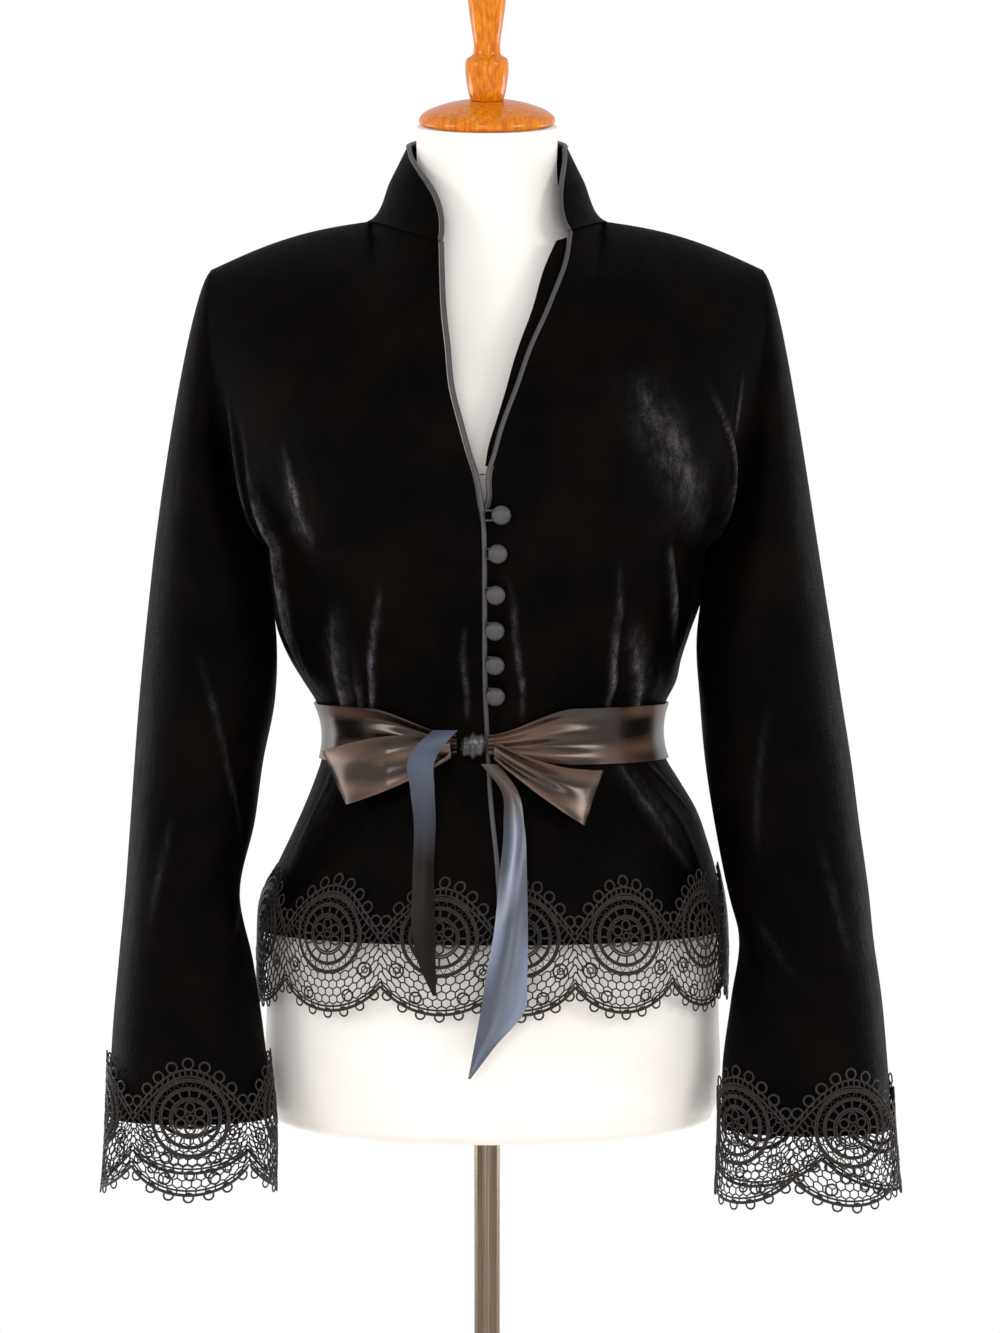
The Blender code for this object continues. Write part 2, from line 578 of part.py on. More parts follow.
def body_normal(across, level, face):
    """Outward direction of the jacket body."""
    along = body_point(across + NORMAL_STEP, level, face) - body_point(across - NORMAL_STEP, level, face)
    high = np.minimum(level + NORMAL_STEP, 1.0)
    up = body_point(across, high, face) - body_point(across, level - NORMAL_STEP, face)
    normal = unit(-face * np.cross(along, up))
    seam = np.zeros_like(normal)
    seam[..., 2] = 1.0
    direction = unit(along)
    seam = unit(seam - direction * np.sum(direction * seam, axis=-1, keepdims=True))
    on_shoulder = ease((np.abs(across) - NECK_SHARE + SEAM_BLEND_LEAD) / SEAM_BLEND_WIDTH)
    share = (on_shoulder * ease((level - 1 + SEAM_BLEND_RISE) / SEAM_BLEND_RISE))[..., None]
    return unit(normal * (1 - share) + seam * share)


def fold_stand(folds, across, height):
    """How far the folds stand out: a soft ridge along each fold that fades from its peak to both ends."""
    stand = np.zeros(np.broadcast(across, height).shape)
    for fold in folds:
        along = (height - fold.height_low) / (fold.height_high - fold.height_low)
        centre = fold.across_low + (fold.across_high - fold.across_low) * np.clip(along, 0, 1)
        before = np.sin(0.5 * math.pi * np.clip(along / fold.peak, 0, 1)) ** 2
        after = np.cos(0.5 * math.pi * np.clip((along - fold.peak) / (1 - fold.peak), 0, 1)) ** 2
        stand = stand + fold.stand * np.exp(-((across - centre) / fold.width) ** 2) * before * after
    return stand


def bust_stand(across, height):
    """Fullness of the fronts over the bust."""
    off = (np.abs(across) - BUST_ACROSS) / BUST_SPREAD
    return BUST_FULLNESS * np.exp(-off ** 2 - ((height - BUST_HEIGHT) / BUST_LENGTH) ** 2)


def front_edge(level, column):
    """Share across the body where a front edge lies at each level."""
    places = follow(EDGE_ROWS, "height", column, height_of(level))
    scan = np.linspace(-0.7, 0.7, 281)
    edge = np.empty_like(level)
    for index, one in enumerate(level):
        line = body_point(scan, np.full_like(scan, one), -1)[:, 0]
        edge[index] = np.interp(places[index], line, scan)
    return edge


def tuck_stand(x, height):
    """Step inwards of the left front where it passes under the right front's edge."""
    beyond = x - follow(EDGE_ROWS, "height", "right_front", height)
    return -TUCK_DEPTH * (1 - ease((beyond - TUCK_HOLD) / TUCK_FADE)) * ease((TUCK_TOP - height) / TUCK_RISE)


def levels():
    """Levels of all rows of a panel, hem to shoulder."""
    return np.concatenate([level_of(np.array(PANEL_HEIGHTS)), np.array(UPPER_RISES)])


def front_panel(left):
    """Outer and inner grids of one front, and the points and outward directions of its front edge."""
    rows = levels()
    column = "left_front" if left else "right_front"
    side = 1 if left else -1
    edge = front_edge(rows, column)
    share = np.linspace(0, 1, FRONT_COLUMNS + 1) ** EDGE_CROWDING
    across = edge[:, None] + (side * SIDE_LIMIT - edge[:, None]) * share[None, :]
    level = np.broadcast_to(rows[:, None], across.shape)
    points = body_point(across, level, -1)
    normals = body_normal(across, level, -1)
    height = points[..., 2]
    folds = LEFT_FRONT_FOLDS if left else RIGHT_FRONT_FOLDS
    stand = fold_stand(folds, across, height) + bust_stand(across, height)
    if left:
        stand = stand + tuck_stand(points[..., 0], height)
    outer = points + normals * stand[..., None]
    outer[-1, :, 1] -= SEAM
    inner = outer - normals * VELVET
    return outer, inner, normals


def facing_panel():
    """Outer and inner grids of the left front's facing: a strip inside the V, set back behind the piping."""
    height = np.array([row.height for row in FACING_ROWS])
    start = np.array([row.edge for row in FACING_ROWS])
    stop = follow(EDGE_ROWS, "height", "left_front", height) + FACING_LAP
    scan = np.linspace(-0.7, 0.7, 281)
    level = level_of(height)
    across = np.empty((len(height), 3))
    for index, one in enumerate(level):
        line = body_point(scan, np.full_like(scan, one), -1)[:, 0]
        across[index] = np.interp(np.linspace(start[index], stop[index], 3), line, scan)
    wide = np.broadcast_to(level[:, None], across.shape)
    normals = body_normal(across, wide, -1)
    stand = bust_stand(across, height[:, None]) - FACING_SET_BACK
    outer = body_point(across, wide, -1) + normals * stand[..., None]
    return outer, outer - normals * FACING_THICKNESS


def back_panel():
    """Outer and inner grids of the back."""
    rows = levels()
    columns = np.linspace(-SIDE_LIMIT, SIDE_LIMIT, BACK_COLUMNS + 1)
    across, level = np.meshgrid(columns, rows)
    points = body_point(across, level, 1)
    normals = body_normal(across, level, 1)
    outer = points + normals * fold_stand(BACK_FOLDS, across, points[..., 2])[..., None]
    outer[-1, :, 1] += SEAM
    return outer, outer - normals * VELVET


def sleeve_section(rows, side, turn, height):
    """Point of a hanging sleeve: an ellipse at each height, from the outer side by way of the front."""
    inner = follow(rows, "height", "inner", height)
    outer = follow(rows, "height", "outer", height)
    forward = follow(rows, "height", "forward", height)
    half_depth = follow(rows, "height", "half_depth", height)
    x = side * (0.5 * (inner + outer) + 0.5 * (outer - inner) * np.cos(turn))
    y = -forward - half_depth * np.sin(turn)
    return np.stack([x, y, np.broadcast_to(height, x.shape)], axis=-1)


def sleeve_cap(rows, side, turn, share):
    """Point of the sleeve cap: from the armhole seam outwards and down into the first hanging section."""
    round_arm = np.mod(turn, 2 * math.pi)
    rise = 1 - np.minimum(round_arm, 2 * math.pi - round_arm) / math.pi
    front = body_point(np.full_like(rise, side), rise, -1)
    back = body_point(np.full_like(rise, side), rise, 1)
    start = np.where((round_arm <= math.pi)[..., None], front, back)
    start[..., 0] += side * ARMHOLE_SEAM
    top = rows[-1].height
    end = sleeve_section(rows, side, turn, np.full_like(turn, top))
    below = sleeve_section(rows, side, turn, np.full_like(turn, top - CAP_SLOPE_STEP))
    reach = CAP_REACH_ARMPIT + (CAP_REACH_TOP - CAP_REACH_ARMPIT) * 0.5 * (1 + np.cos(turn))
    start_slope = np.zeros_like(start)
    start_slope[..., 0] = side * reach
    fall = np.abs(start[..., 2] - end[..., 2])[..., None]
    end_slope = (below - end) / CAP_SLOPE_STEP * fall * CAP_FULLNESS
    return hermite(start, start_slope, end, end_slope, share[..., None])


def tube_normals(points, side):
    """Outward directions of a sleeve grid whose columns run round it."""
    round_arm = np.roll(points, -1, axis=1) - np.roll(points, 1, axis=1)
    down = np.gradient(points, axis=0)
    return unit(side * np.cross(round_arm, down))


def sleeve(side, rows, cuff, folds):
    """Outer and inner grids of a sleeve from armhole to cuff."""
    forward = math.pi * (1 - np.array(UPPER_RISES)[::-1])
    turn = np.concatenate([forward, 2 * math.pi - forward[-2:0:-1]])
    caps = [sleeve_cap(rows, side, turn, np.full_like(turn, share)) for share in CAP_SHARES]
    heights = SLEEVE_HEIGHTS + (cuff,)
    hanging = [sleeve_section(rows, side, turn, np.full_like(turn, height)) for height in heights]
    points = np.array(caps + hanging)
    normals = tube_normals(points, side)
    outer = points + normals * fold_stand(folds, turn[None, :], points[..., 2])[..., None]
    return outer, outer - normals * VELVET


def neck_ring(turn, rise):
    """Collar surface: from the neck seam to the smaller top ring, turn 0 in front and pi behind."""
    behind = np.abs(turn) > math.pi / 2
    base_reach = np.where(behind, NECK_BACK_REACH, NECK_FRONT_REACH)
    top_reach = np.where(behind, COLLAR_TOP_BACK_REACH, COLLAR_TOP_FRONT_REACH)
    half_width = NECK_HALF_WIDTH + (COLLAR_TOP_HALF_WIDTH - NECK_HALF_WIDTH) * rise
    reach = base_reach + (top_reach - base_reach) * rise
    centre = NECK_CENTRE_DEPTH + (COLLAR_TOP_CENTRE_DEPTH - NECK_CENTRE_DEPTH) * rise
    middle_height = np.where(behind, NECK_BACK_HEIGHT, NECK_FRONT_HEIGHT)
    base = middle_height + (NECK_SIDE_HEIGHT - middle_height) * np.abs(np.sin(turn)) + COLLAR_SEAM
    top = COLLAR_TOP_HEIGHT + COLLAR_BACK_RISE * 0.5 * (1 - np.cos(turn))
    x = half_width * np.sin(turn)
    y = centre - reach * np.cos(turn)
    z = base + (top - base) * rise
    return np.stack([x, y, z], axis=-1)


def collar_turn(share, rise):
    """Angle round the neck for a share along the collar; the front corners sweep back as they rise."""
    corner = rise ** COLLAR_CORNER_POWER
    start = -(COLLAR_RIGHT_FRONT_BASE + (COLLAR_RIGHT_FRONT_TOP - COLLAR_RIGHT_FRONT_BASE) * corner)
    end = COLLAR_LEFT_FRONT_BASE + (COLLAR_LEFT_FRONT_TOP - COLLAR_LEFT_FRONT_BASE) * corner - 2 * math.pi
    return start + (end - start) * share


def collar():
    """Outer and inner grids of the stand collar, running from the right front round the back."""
    share, rise = np.meshgrid(np.linspace(0, 1, COLLAR_COLUMNS + 1), np.array(COLLAR_RISES))
    turn = collar_turn(share, rise)
    wrapped = np.where(turn < -math.pi, turn + 2 * math.pi, turn)
    outer = neck_ring(wrapped, rise)
    normals = unit(np.cross(np.gradient(outer, axis=0), np.gradient(outer, axis=1)))
    return outer, outer - normals * VELVET, normals


def wall(name, finish, outer, inner, ring=False):
    """Closed cloth wall between an outer and an inner grid; ring joins the last column to the first."""
    rows, columns = outer.shape[:2]
    index = np.arange(rows * columns).reshape(rows, columns)
    if ring:
        index = np.concatenate([index, index[:, :1]], axis=1)
    quads = np.stack([index[:-1, :-1], index[:-1, 1:], index[1:, 1:], index[1:, :-1]], axis=-1).reshape(-1, 4)
    offset = rows * columns
    faces = [quads, quads[:, ::-1] + offset]
    borders = [(index[0], True), (index[-1], False)]
    if not ring:
        borders += [(index[:, 0], False), (index[:, -1], True)]
    for line, flip in borders:
        strip = np.stack([line[:-1], line[1:], line[1:] + offset, line[:-1] + offset], axis=-1)
        faces.append(strip[:, ::-1] if flip else strip)
    vertices = np.concatenate([outer.reshape(-1, 3), inner.reshape(-1, 3)])
    return add_mesh(name, finish, vertices, np.concatenate(faces).tolist())


def add_mesh(name, finish, vertices, faces):
    """Object with its own material; its faces are turned outwards by the sign of the volume."""
    mesh = bpy.data.meshes.new(name)
    mesh.from_pydata([tuple(v) for v in vertices], [], faces)
    mesh.validate()
    mesh.update()
    if signed_volume(mesh) < 0:
        mesh.flip_normals()
    thing = bpy.data.objects.new(name, mesh)
    bpy.context.scene.collection.objects.link(thing)
    mesh.materials.append(new_material(name, FINISHES[finish]))
    return thing


def signed_volume(mesh):
    """Six times the volume enclosed, positive when the faces point outwards."""
    mesh.calc_loop_triangles()
    total = 0.0
    for triangle in mesh.loop_triangles:
        a, b, c = (mesh.vertices[i].co for i in triangle.vertices)
        total += a.dot(b.cross(c))
    return total


def new_material(name, finish):
    """Principled material of a piece."""
    material = bpy.data.materials.new(name)
    material.use_nodes = True
    shader = material.node_tree.nodes["Principled BSDF"]
    shader.inputs["Base Color"].default_value = (*finish.colour, 1.0)
    shader.inputs["Roughness"].default_value = finish.roughness
    shader.inputs["Metallic"].default_value = finish.metallic
    return material


def rings_solid(name, finish, rings):
    """Closed solid through rings of points, with flat ends."""
    count, sides = rings.shape[:2]
    index = np.arange(count * sides).reshape(count, sides)
    index = np.concatenate([index, index[:, :1]], axis=1)
    quads = np.stack([index[:-1, :-1], index[:-1, 1:], index[1:, 1:], index[1:, :-1]], axis=-1).reshape(-1, 4)
    faces = quads.tolist() + [index[0, :-1][::-1].tolist(), index[-1, :-1].tolist()]
    return add_mesh(name, finish, rings.reshape(-1, 3), faces)


def edge_piping(name, path, normals):
    """Round piping just outside an edge; the cloth lies to the left of the path seen from outside."""
    along = unit(np.gradient(path, axis=0))
    outwards = unit(np.cross(along, normals))
    upright = unit(np.cross(outwards, along))
    centre = path + outwards * (PIPING_RADIUS + 1.5 * SEAM) - normals * VELVET / 2
    turn = np.arange(PIPING_SIDES) * 2 * math.pi / PIPING_SIDES
    ring = np.cos(turn)[None, :, None] * outwards[:, None, :]
    ring = ring + np.sin(turn)[None, :, None] * upright[:, None, :]
    return rings_solid(name, "charcoal_satin", centre[:, None, :] + PIPING_RADIUS * ring)


def turned(name, finish, rows, sides, place=(0.0, 0.0, 0.0), tilt=0.0):
    """Round solid from a table of radius and height, leaning forwards by a tilt about its place."""
    turn = np.arange(sides) * 2 * math.pi / sides
    radius = np.array([row.radius for row in rows])[:, None]
    height = np.array([row.height for row in rows])[:, None] + np.zeros_like(turn)[None, :]
    x = radius * np.cos(turn)[None, :]
    y = radius * np.sin(turn)[None, :]
    leaned_y = y * math.cos(tilt) - height * math.sin(tilt)
    leaned_z = y * math.sin(tilt) + height * math.cos(tilt)
    rings = np.stack([x + place[0], leaned_y + place[1], leaned_z + place[2]], axis=-1)
    return rings_solid(name, finish, rings)


def dress_form():
    """Limbless torso and neck, whose top is cut on a tilt."""
    turn = np.arange(FORM_SIDES) * 2 * math.pi / FORM_SIDES
    rings = []
    for row in FORM_ROWS:
        x = row.lean + row.half_width * np.sin(turn)
        y = np.where(np.cos(turn) > 0, -row.front, -row.back) * np.cos(turn)
        tilt = NECK_TILT * ease((row.height - NECK_TILT_START) / (NECK_TOP_HEIGHT - NECK_TILT_START))
        z = row.height + (y - NECK_TOP_DEPTH) * math.tan(tilt)
        rings.append(np.stack([x, y, z], axis=-1))
    return rings_solid("dress_form", "jersey", np.array(rings))


def surface_on_front(x, height, lift):
    """Point in front of the jacket, off the cloth; far from the middle it leans back on a straight line."""
    scan = np.linspace(-1, 1, 401)
    x, height, lift = np.broadcast_arrays(x, height, lift)
    points = np.empty(x.shape + (3,))
    for place, (one_x, one_z, one_lift) in enumerate(zip(np.ravel(x), np.ravel(height), np.ravel(lift))):
        line = body_point(scan, np.full_like(scan, level_of(one_z)), -1)
        near_x = np.clip(one_x, -LOOP_LEAN_START, LOOP_LEAN_START)
        depth = np.interp(near_x, line[:, 0], line[:, 1]) + LOOP_LEAN_SLOPE * abs(one_x - near_x)
        points.reshape(-1, 3)[place] = (one_x, depth - one_lift, one_z)
    return points


def belt():
    """Ribbon round the waist from one side of the knot to the other, drawn in towards the knot."""
    knot = 2 / math.pi * math.asin((KNOT_ACROSS - WAIST_LEAN) / WAIST_HALF_WIDTH)
    start = knot - BELT_KNOT_GAP
    stop = knot + BELT_KNOT_GAP - 4
    walk = start + (stop - start) * np.linspace(0, 1, BELT_COLUMNS + 1)
    front = (walk > -1) | (walk < -3)
    across = np.where(walk > -1, walk, np.where(walk < -3, walk + 4, -2 - walk))
    from_knot = np.abs(across - knot) * WAIST_QUARTER
    gather = np.where(front, ease((from_knot - BELT_KNOT_CLEAR) / BELT_GATHER), 1.0)
    half = BELT_KNOT_HALF_WIDTH + (RIBBON_WIDTH / 2 - BELT_KNOT_HALF_WIDTH) * gather
    middle = KNOT_HEIGHT + (WAIST_HEIGHT - KNOT_HEIGHT) * gather
    shares = np.array([-1.0, 1.0])
    height = middle[None, :] + shares[:, None] * half[None, :]
    level = level_of(height)
    wide = np.broadcast_to(across[None, :], height.shape)
    on_front = np.broadcast_to(front[None, :], height.shape)[..., None]
    points = np.where(on_front, body_point(wide, level, -1), body_point(wide, level, 1))
    normals = np.where(on_front, body_normal(wide, level, -1), body_normal(wide, level, 1))
    lift = BELT_LIFT + BELT_KNOT_RISE * (1 - gather)[None, :, None] * np.ones_like(points)
    inner = points + normals * lift
    wall("ribbon_belt", "satin", inner + normals * SATIN, inner)


def bow_loop(row):
    """Loop of ribbon out from the knot, round its fold and back: two layers over one outline."""
    tau = np.linspace(LOOP_ROOT_TURN, math.pi - LOOP_ROOT_TURN, LOOP_STATIONS)[None, :]
    reach = np.sin(tau)
    share = np.linspace(0, 1, LOOP_ACROSS)[:, None]
    side = math.copysign(1.0, row.upper_x)
    root_x = KNOT_ACROSS + side * (KNOT_HALF_WIDTH + LOOP_ROOT_GAP)
    bow = 4 * reach * (1 - reach)
    upper_x = root_x + (row.upper_x - root_x) * reach
    lower_x = root_x + (row.lower_x - root_x) * reach
    root_top = KNOT_HEIGHT + LOOP_ROOT_HALF_HEIGHT
    root_low = KNOT_HEIGHT - LOOP_ROOT_HALF_HEIGHT
    upper_z = root_top + (row.upper_z - root_top) * reach + row.upper_bow * bow
    lower_z = root_low + (row.lower_z - root_low) * reach + row.lower_bow * bow
    x = lower_x + (upper_x - lower_x) * share
    z = lower_z + (upper_z - lower_z) * share
    swell = LOOP_EDGE_PUFF + (1 - LOOP_EDGE_PUFF) * np.sin(math.pi * share)
    puff = row.puff * swell * np.sqrt(np.clip(reach, 0, 1)) + LOOP_LAYER_GAP
    lift = LOOP_STAND - np.cos(tau) * puff
    front = surface_on_front(x, z, lift)
    normals = unit(np.cross(np.gradient(front, axis=1), np.gradient(front, axis=0)))
    away = front - front.mean(axis=(0, 1))
    if np.sum(normals * away) < 0:
        normals = -normals
    wall(row.name, "satin", front, front - normals * SATIN)


def bow_tail(name, finish, rows):
    """Hanging ribbon end, slightly curled across, cut off on a slant."""
    share = np.linspace(0, 1, TAIL_ACROSS)[:, None]
    height = np.array([row.height for row in rows])[None, :]
    left = np.array([row.left for row in rows])[None, :]
    right = np.array([row.right for row in rows])[None, :]
    left_stand = np.array([row.left_stand for row in rows])[None, :]
    right_stand = np.array([row.right_stand for row in rows])[None, :]
    x = left + (right - left) * share
    width_share = np.clip((right - left) / TAIL_CURL_WIDTH, 0, 1)
    lift = left_stand + (right_stand - left_stand) * share + TAIL_CURL * np.sin(math.pi * share) * width_share
    front = surface_on_front(x, np.broadcast_to(height, x.shape), lift)
    normals = unit(np.cross(np.gradient(front, axis=0), np.gradient(front, axis=1)))
    normals = np.where(normals[..., 1:2] > 0, -normals, normals)
    wall(name, finish, front, front - normals * SATIN)


def knot():
    """Knot of the bow: a small rounded bundle in front of the belt."""
    turn = np.arange(KNOT_SIDES) * 2 * math.pi / KNOT_SIDES
    tilt = np.linspace(-KNOT_CUT, KNOT_CUT, KNOT_RINGS)
    base = surface_on_front(np.array(KNOT_ACROSS), np.array(KNOT_HEIGHT), np.array(KNOT_STAND)).reshape(3)
    x = np.cos(tilt)[:, None] * np.cos(turn)[None, :] * KNOT_HALF_WIDTH
    y = np.cos(tilt)[:, None] * np.sin(turn)[None, :] * KNOT_HALF_DEPTH
    z = np.sin(tilt)[:, None] * KNOT_HALF_HEIGHT * np.ones_like(turn)[None, :]
    rings_solid("bow_knot", "satin", base + np.stack([x, y, z], axis=-1))


def button(row, panel):
    """Covered button with its shank, standing on the left front."""
    tree = BVHTree.FromObject(panel, bpy.context.evaluated_depsgraph_get())
    start = surface_on_front(row.across, row.height, 0.0)
    scan = np.linspace(-0.3, 0.3, 121)
    level = level_of(row.height)
    line = body_point(scan, np.full_like(scan, level), -1)[:, 0]
    normal = body_normal(np.interp(row.across, line, scan), level, -1)
    side = unit(np.cross(np.array([0.0, 0.0, 1.0]), normal))
    up = np.cross(normal, side)
    turn = np.arange(BUTTON_SIDES) * 2 * math.pi / BUTTON_SIDES
    circle = np.cos(turn)[:, None] * side + np.sin(turn)[:, None] * up
    shank = start + circle * BUTTON_RADIUS * BUTTON_RINGS[0].radius_share
    hits = [tree.ray_cast(Vector(point + normal * BUTTON_SEEK), Vector(-normal))[3] for point in shank]
    base = start + normal * (BUTTON_SEEK - min(hits) + SEAM)
    rings = [base + normal * ring.rise + circle * BUTTON_RADIUS * ring.radius_share for ring in BUTTON_RINGS]
    rings_solid(row.name, "charcoal_satin", np.array(rings))


def hook_bar():
    """Short wire bar between the two piped edges at the bottom of the V."""
    columns = ("right_front", "left_front")
    edges = [float(follow(EDGE_ROWS, "height", column, HOOK_HEIGHT)) for column in columns]
    clear = 2 * PIPING_RADIUS + 3 * SEAM
    ends = np.array([edges[0] + clear, edges[1] - clear])
    middle = surface_on_front(ends, np.full(2, HOOK_HEIGHT), np.full(2, -VELVET / 2))
    turn = np.arange(HOOK_SIDES) * 2 * math.pi / HOOK_SIDES
    circle = np.stack([np.zeros_like(turn), np.cos(turn), np.sin(turn)], axis=-1) * HOOK_RADIUS
    rings_solid("hook_bar", "wire", middle[:, None, :] + circle[None, :, :])


def lace_outline(repeats, width, cut_steps):
    """Flat outline of a lace strip: scalloped lower edge, then the arched upper edge back again."""
    step = np.arange(cut_steps, repeats * LACE_EDGE_STEPS + 1)
    along = step * width / LACE_EDGE_STEPS
    place = np.mod(step, LACE_EDGE_STEPS) / LACE_EDGE_STEPS - 0.5
    sag = LACE_SCALLOP_DROP - LACE_CUSP_DROP
    radius = ((width / 2) ** 2 + sag ** 2) / (2 * sag)
    lower = -LACE_CUSP_DROP - np.sqrt(radius ** 2 - (place * width) ** 2) + radius - sag
    upper = LACE_VALLEY_RISE + (LACE_PEAK_RISE - LACE_VALLEY_RISE) * np.cos(math.pi * place)
    bottom = np.stack([along, lower], axis=-1)
    top = np.stack([along, upper], axis=-1)[::-1]
    return np.concatenate([bottom, top])


def lace_gaps(repeats, width):
    """Middles and radii of the gaps cut through each repeat: rosette petals and two eyelets by the cusps."""
    middles = []
    for repeat in range(repeats):
        centre = (repeat + 0.5) * width
        for petal in range(ROSETTE_GAPS):
            turn = 2 * math.pi * (petal + 0.5) / ROSETTE_GAPS
            rise = MEDALLION_RISE + ROSETTE_RADIUS * math.sin(turn)
            middles.append((centre + ROSETTE_RADIUS * math.cos(turn), rise))
        for side in (-1, 1):
            middles.append((centre + side * EYELET_SHARE * width, -EYELET_DROP))
    return np.array(middles)


def lace_strip(name, repeats, width, cut_steps, lift, place):
    """Lace wall: flat outline with its gaps, laid on a surface by the function place(along, rise, lift)."""
    outline = lace_outline(repeats, width, cut_steps)
    middles = lace_gaps(repeats, width)
    cut_edge = cut_steps * width / LACE_EDGE_STEPS
    middles = middles[middles[:, 0] > cut_edge + CUT_EDGE_MARGIN]
    points = outline.tolist()
    count = len(points)
    edges = [(i, (i + 1) % count) for i in range(count)]
    corner = np.arange(GAP_SIDES) * 2 * math.pi / GAP_SIDES + math.pi / 2
    for middle in middles:
        first = len(points)
        ring = middle + GAP_RADIUS * np.stack([np.cos(corner), np.sin(corner)], axis=-1)
        points += ring.tolist()
        edges += [(first + i, first + (i + 1) % GAP_SIDES) for i in range(GAP_SIDES)]
    for repeat in range(repeats):
        spots = [((repeat + 0.5 + spot.share) * width, spot.rise) for spot in LACE_POINTS]
        points += [spot for spot in spots if spot[0] > cut_edge + CUT_EDGE_MARGIN]
    result = delaunay_2d_cdt([Vector(p) for p in points], edges, [list(range(count))], 1, 1e-7)
    flat = np.array([(v.x, v.y) for v in result[0]])
    faces = np.array(result[2])
    centres = flat[faces].mean(axis=1)
    distance = np.linalg.norm(centres[:, None, :] - middles[None, :, :], axis=-1).min(axis=1)
    faces = faces[distance > GAP_RADIUS * math.cos(math.pi / GAP_SIDES) * 0.999]
    outer = place(flat[:, 0], flat[:, 1], lift + LACE)
    inner = place(flat[:, 0], flat[:, 1], lift)
    offset = len(flat)
    directed = np.concatenate([faces[:, [0, 1]], faces[:, [1, 2]], faces[:, [2, 0]]])
    known = {tuple(edge) for edge in directed.tolist()}
    border = [edge for edge in directed.tolist() if (edge[1], edge[0]) not in known]
    sides = [(b, a, a + offset, b + offset) for a, b in border]
    every = faces.tolist() + (faces[:, ::-1] + offset).tolist() + sides
    add_mesh(name, "lace", np.concatenate([outer, inner]), every)


def hem_walk():
    """Shares round the hem and the length walked to each: left front, back, then right front."""
    walk = np.linspace(-0.2, 4.2, 2201)
    points = hem_point(walk, np.zeros_like(walk), 0.0)
    step = np.linalg.norm(np.diff(points, axis=0), axis=1)
    length = np.concatenate([[0], np.cumsum(step)])
    return walk, length


def hem_point(walk, rise, lift):
    """Point of the body near the hem: walk 0 front middle, 1 left side, 2 back middle, 3 right side."""
    height = HEM_HEIGHT + rise
    level = level_of(height)
    behind = ((walk > 1) & (walk < 3))[..., None]
    across = np.where(walk <= 1, walk, np.where(walk < 3, 2 - walk, walk - 4))
    points = np.where(behind, body_point(across, level, 1), body_point(across, level, -1))
    normals = np.where(behind, body_normal(across, level, 1), body_normal(across, level, -1))
    return points + normals * lift


def hem_lace():
    """Three strips of lace round the hem, meeting at the closure, where the left one is cut off."""
    walk, length = hem_walk()
    closure = float(follow(EDGE_ROWS, "height", "right_front", HEM_HEIGHT)) + PIPING_RADIUS
    start = 2 / math.pi * math.asin((closure - HEM_LEAN) / HEM_HALF_WIDTH)
    begin = float(np.interp(start, walk, length)) + LACE_CLOSURE_GAP / 2
    finish = float(np.interp(start + 4, walk, length)) - LACE_CLOSURE_GAP / 2
    left_start = begin + HEM_LEFT_CUT_GAP - HEM_LEFT_CUT_STEPS * HEM_LEFT_REPEAT / LACE_EDGE_STEPS
    left_end = left_start + HEM_REPEATS_LEFT * HEM_LEFT_REPEAT
    right_start = float(np.interp(3, walk, length))
    strips = (
        HemStrip("hem_lace_left", HEM_REPEATS_LEFT, left_start, left_end, HEM_LEFT_CUT_STEPS),
        HemStrip("hem_lace_back", HEM_REPEATS_BACK, left_end + SEAM, right_start - SEAM, 0),
        HemStrip("hem_lace_right", HEM_REPEATS_RIGHT, right_start, finish, 0),
    )
    for strip in strips:
        def place(along, rise, lift, begin=strip.start):
            return hem_point(np.interp(begin + along, length, walk), rise, lift)
        width = (strip.end - strip.start) / strip.repeats
        lace_strip(strip.name, strip.repeats, width, strip.cut_steps, HEM_LACE_LIFT, place)


def cuff_lace(prefix, side, rows, cuff, join):
    """Front and back strip of lace round one cuff, joined at the inner and outer side."""
    turn = np.linspace(-0.5 * math.pi, 2.5 * math.pi, 1201)
    ring = sleeve_section(rows, side, turn, np.full_like(turn, cuff))
    length = np.concatenate([[0], np.cumsum(np.linalg.norm(np.diff(ring, axis=0), axis=1))])
    begin = float(np.interp(join, turn, length))
    finish = float(np.interp(join + 2 * math.pi, turn, length))
    width = (finish - begin - 2 * SEAM) / (CUFF_REPEATS_FRONT + CUFF_REPEATS_BACK)
    at = begin
    for name, count in ((prefix + "_front", CUFF_REPEATS_FRONT), (prefix + "_back", CUFF_REPEATS_BACK)):
        def place(along, rise, lift, at=at):
            angle = np.interp(at + along, length, turn)
            height = cuff + rise
            here = sleeve_section(rows, side, angle, height)
            ahead = sleeve_section(rows, side, angle + 0.01, height)
            ahead = ahead - sleeve_section(rows, side, angle - 0.01, height)
            below = sleeve_section(rows, side, angle, height - 0.002)
            below = below - sleeve_section(rows, side, angle, height + 0.002)
            return here + unit(side * np.cross(ahead, below)) * lift
        lace_strip(name, count, width, 0, CUFF_LACE_LIFT, place)
        at += count * width + SEAM


def clear_scene():
    """Start from an empty scene."""
    for thing in list(bpy.data.objects):
        bpy.data.objects.remove(thing, do_unlink=True)


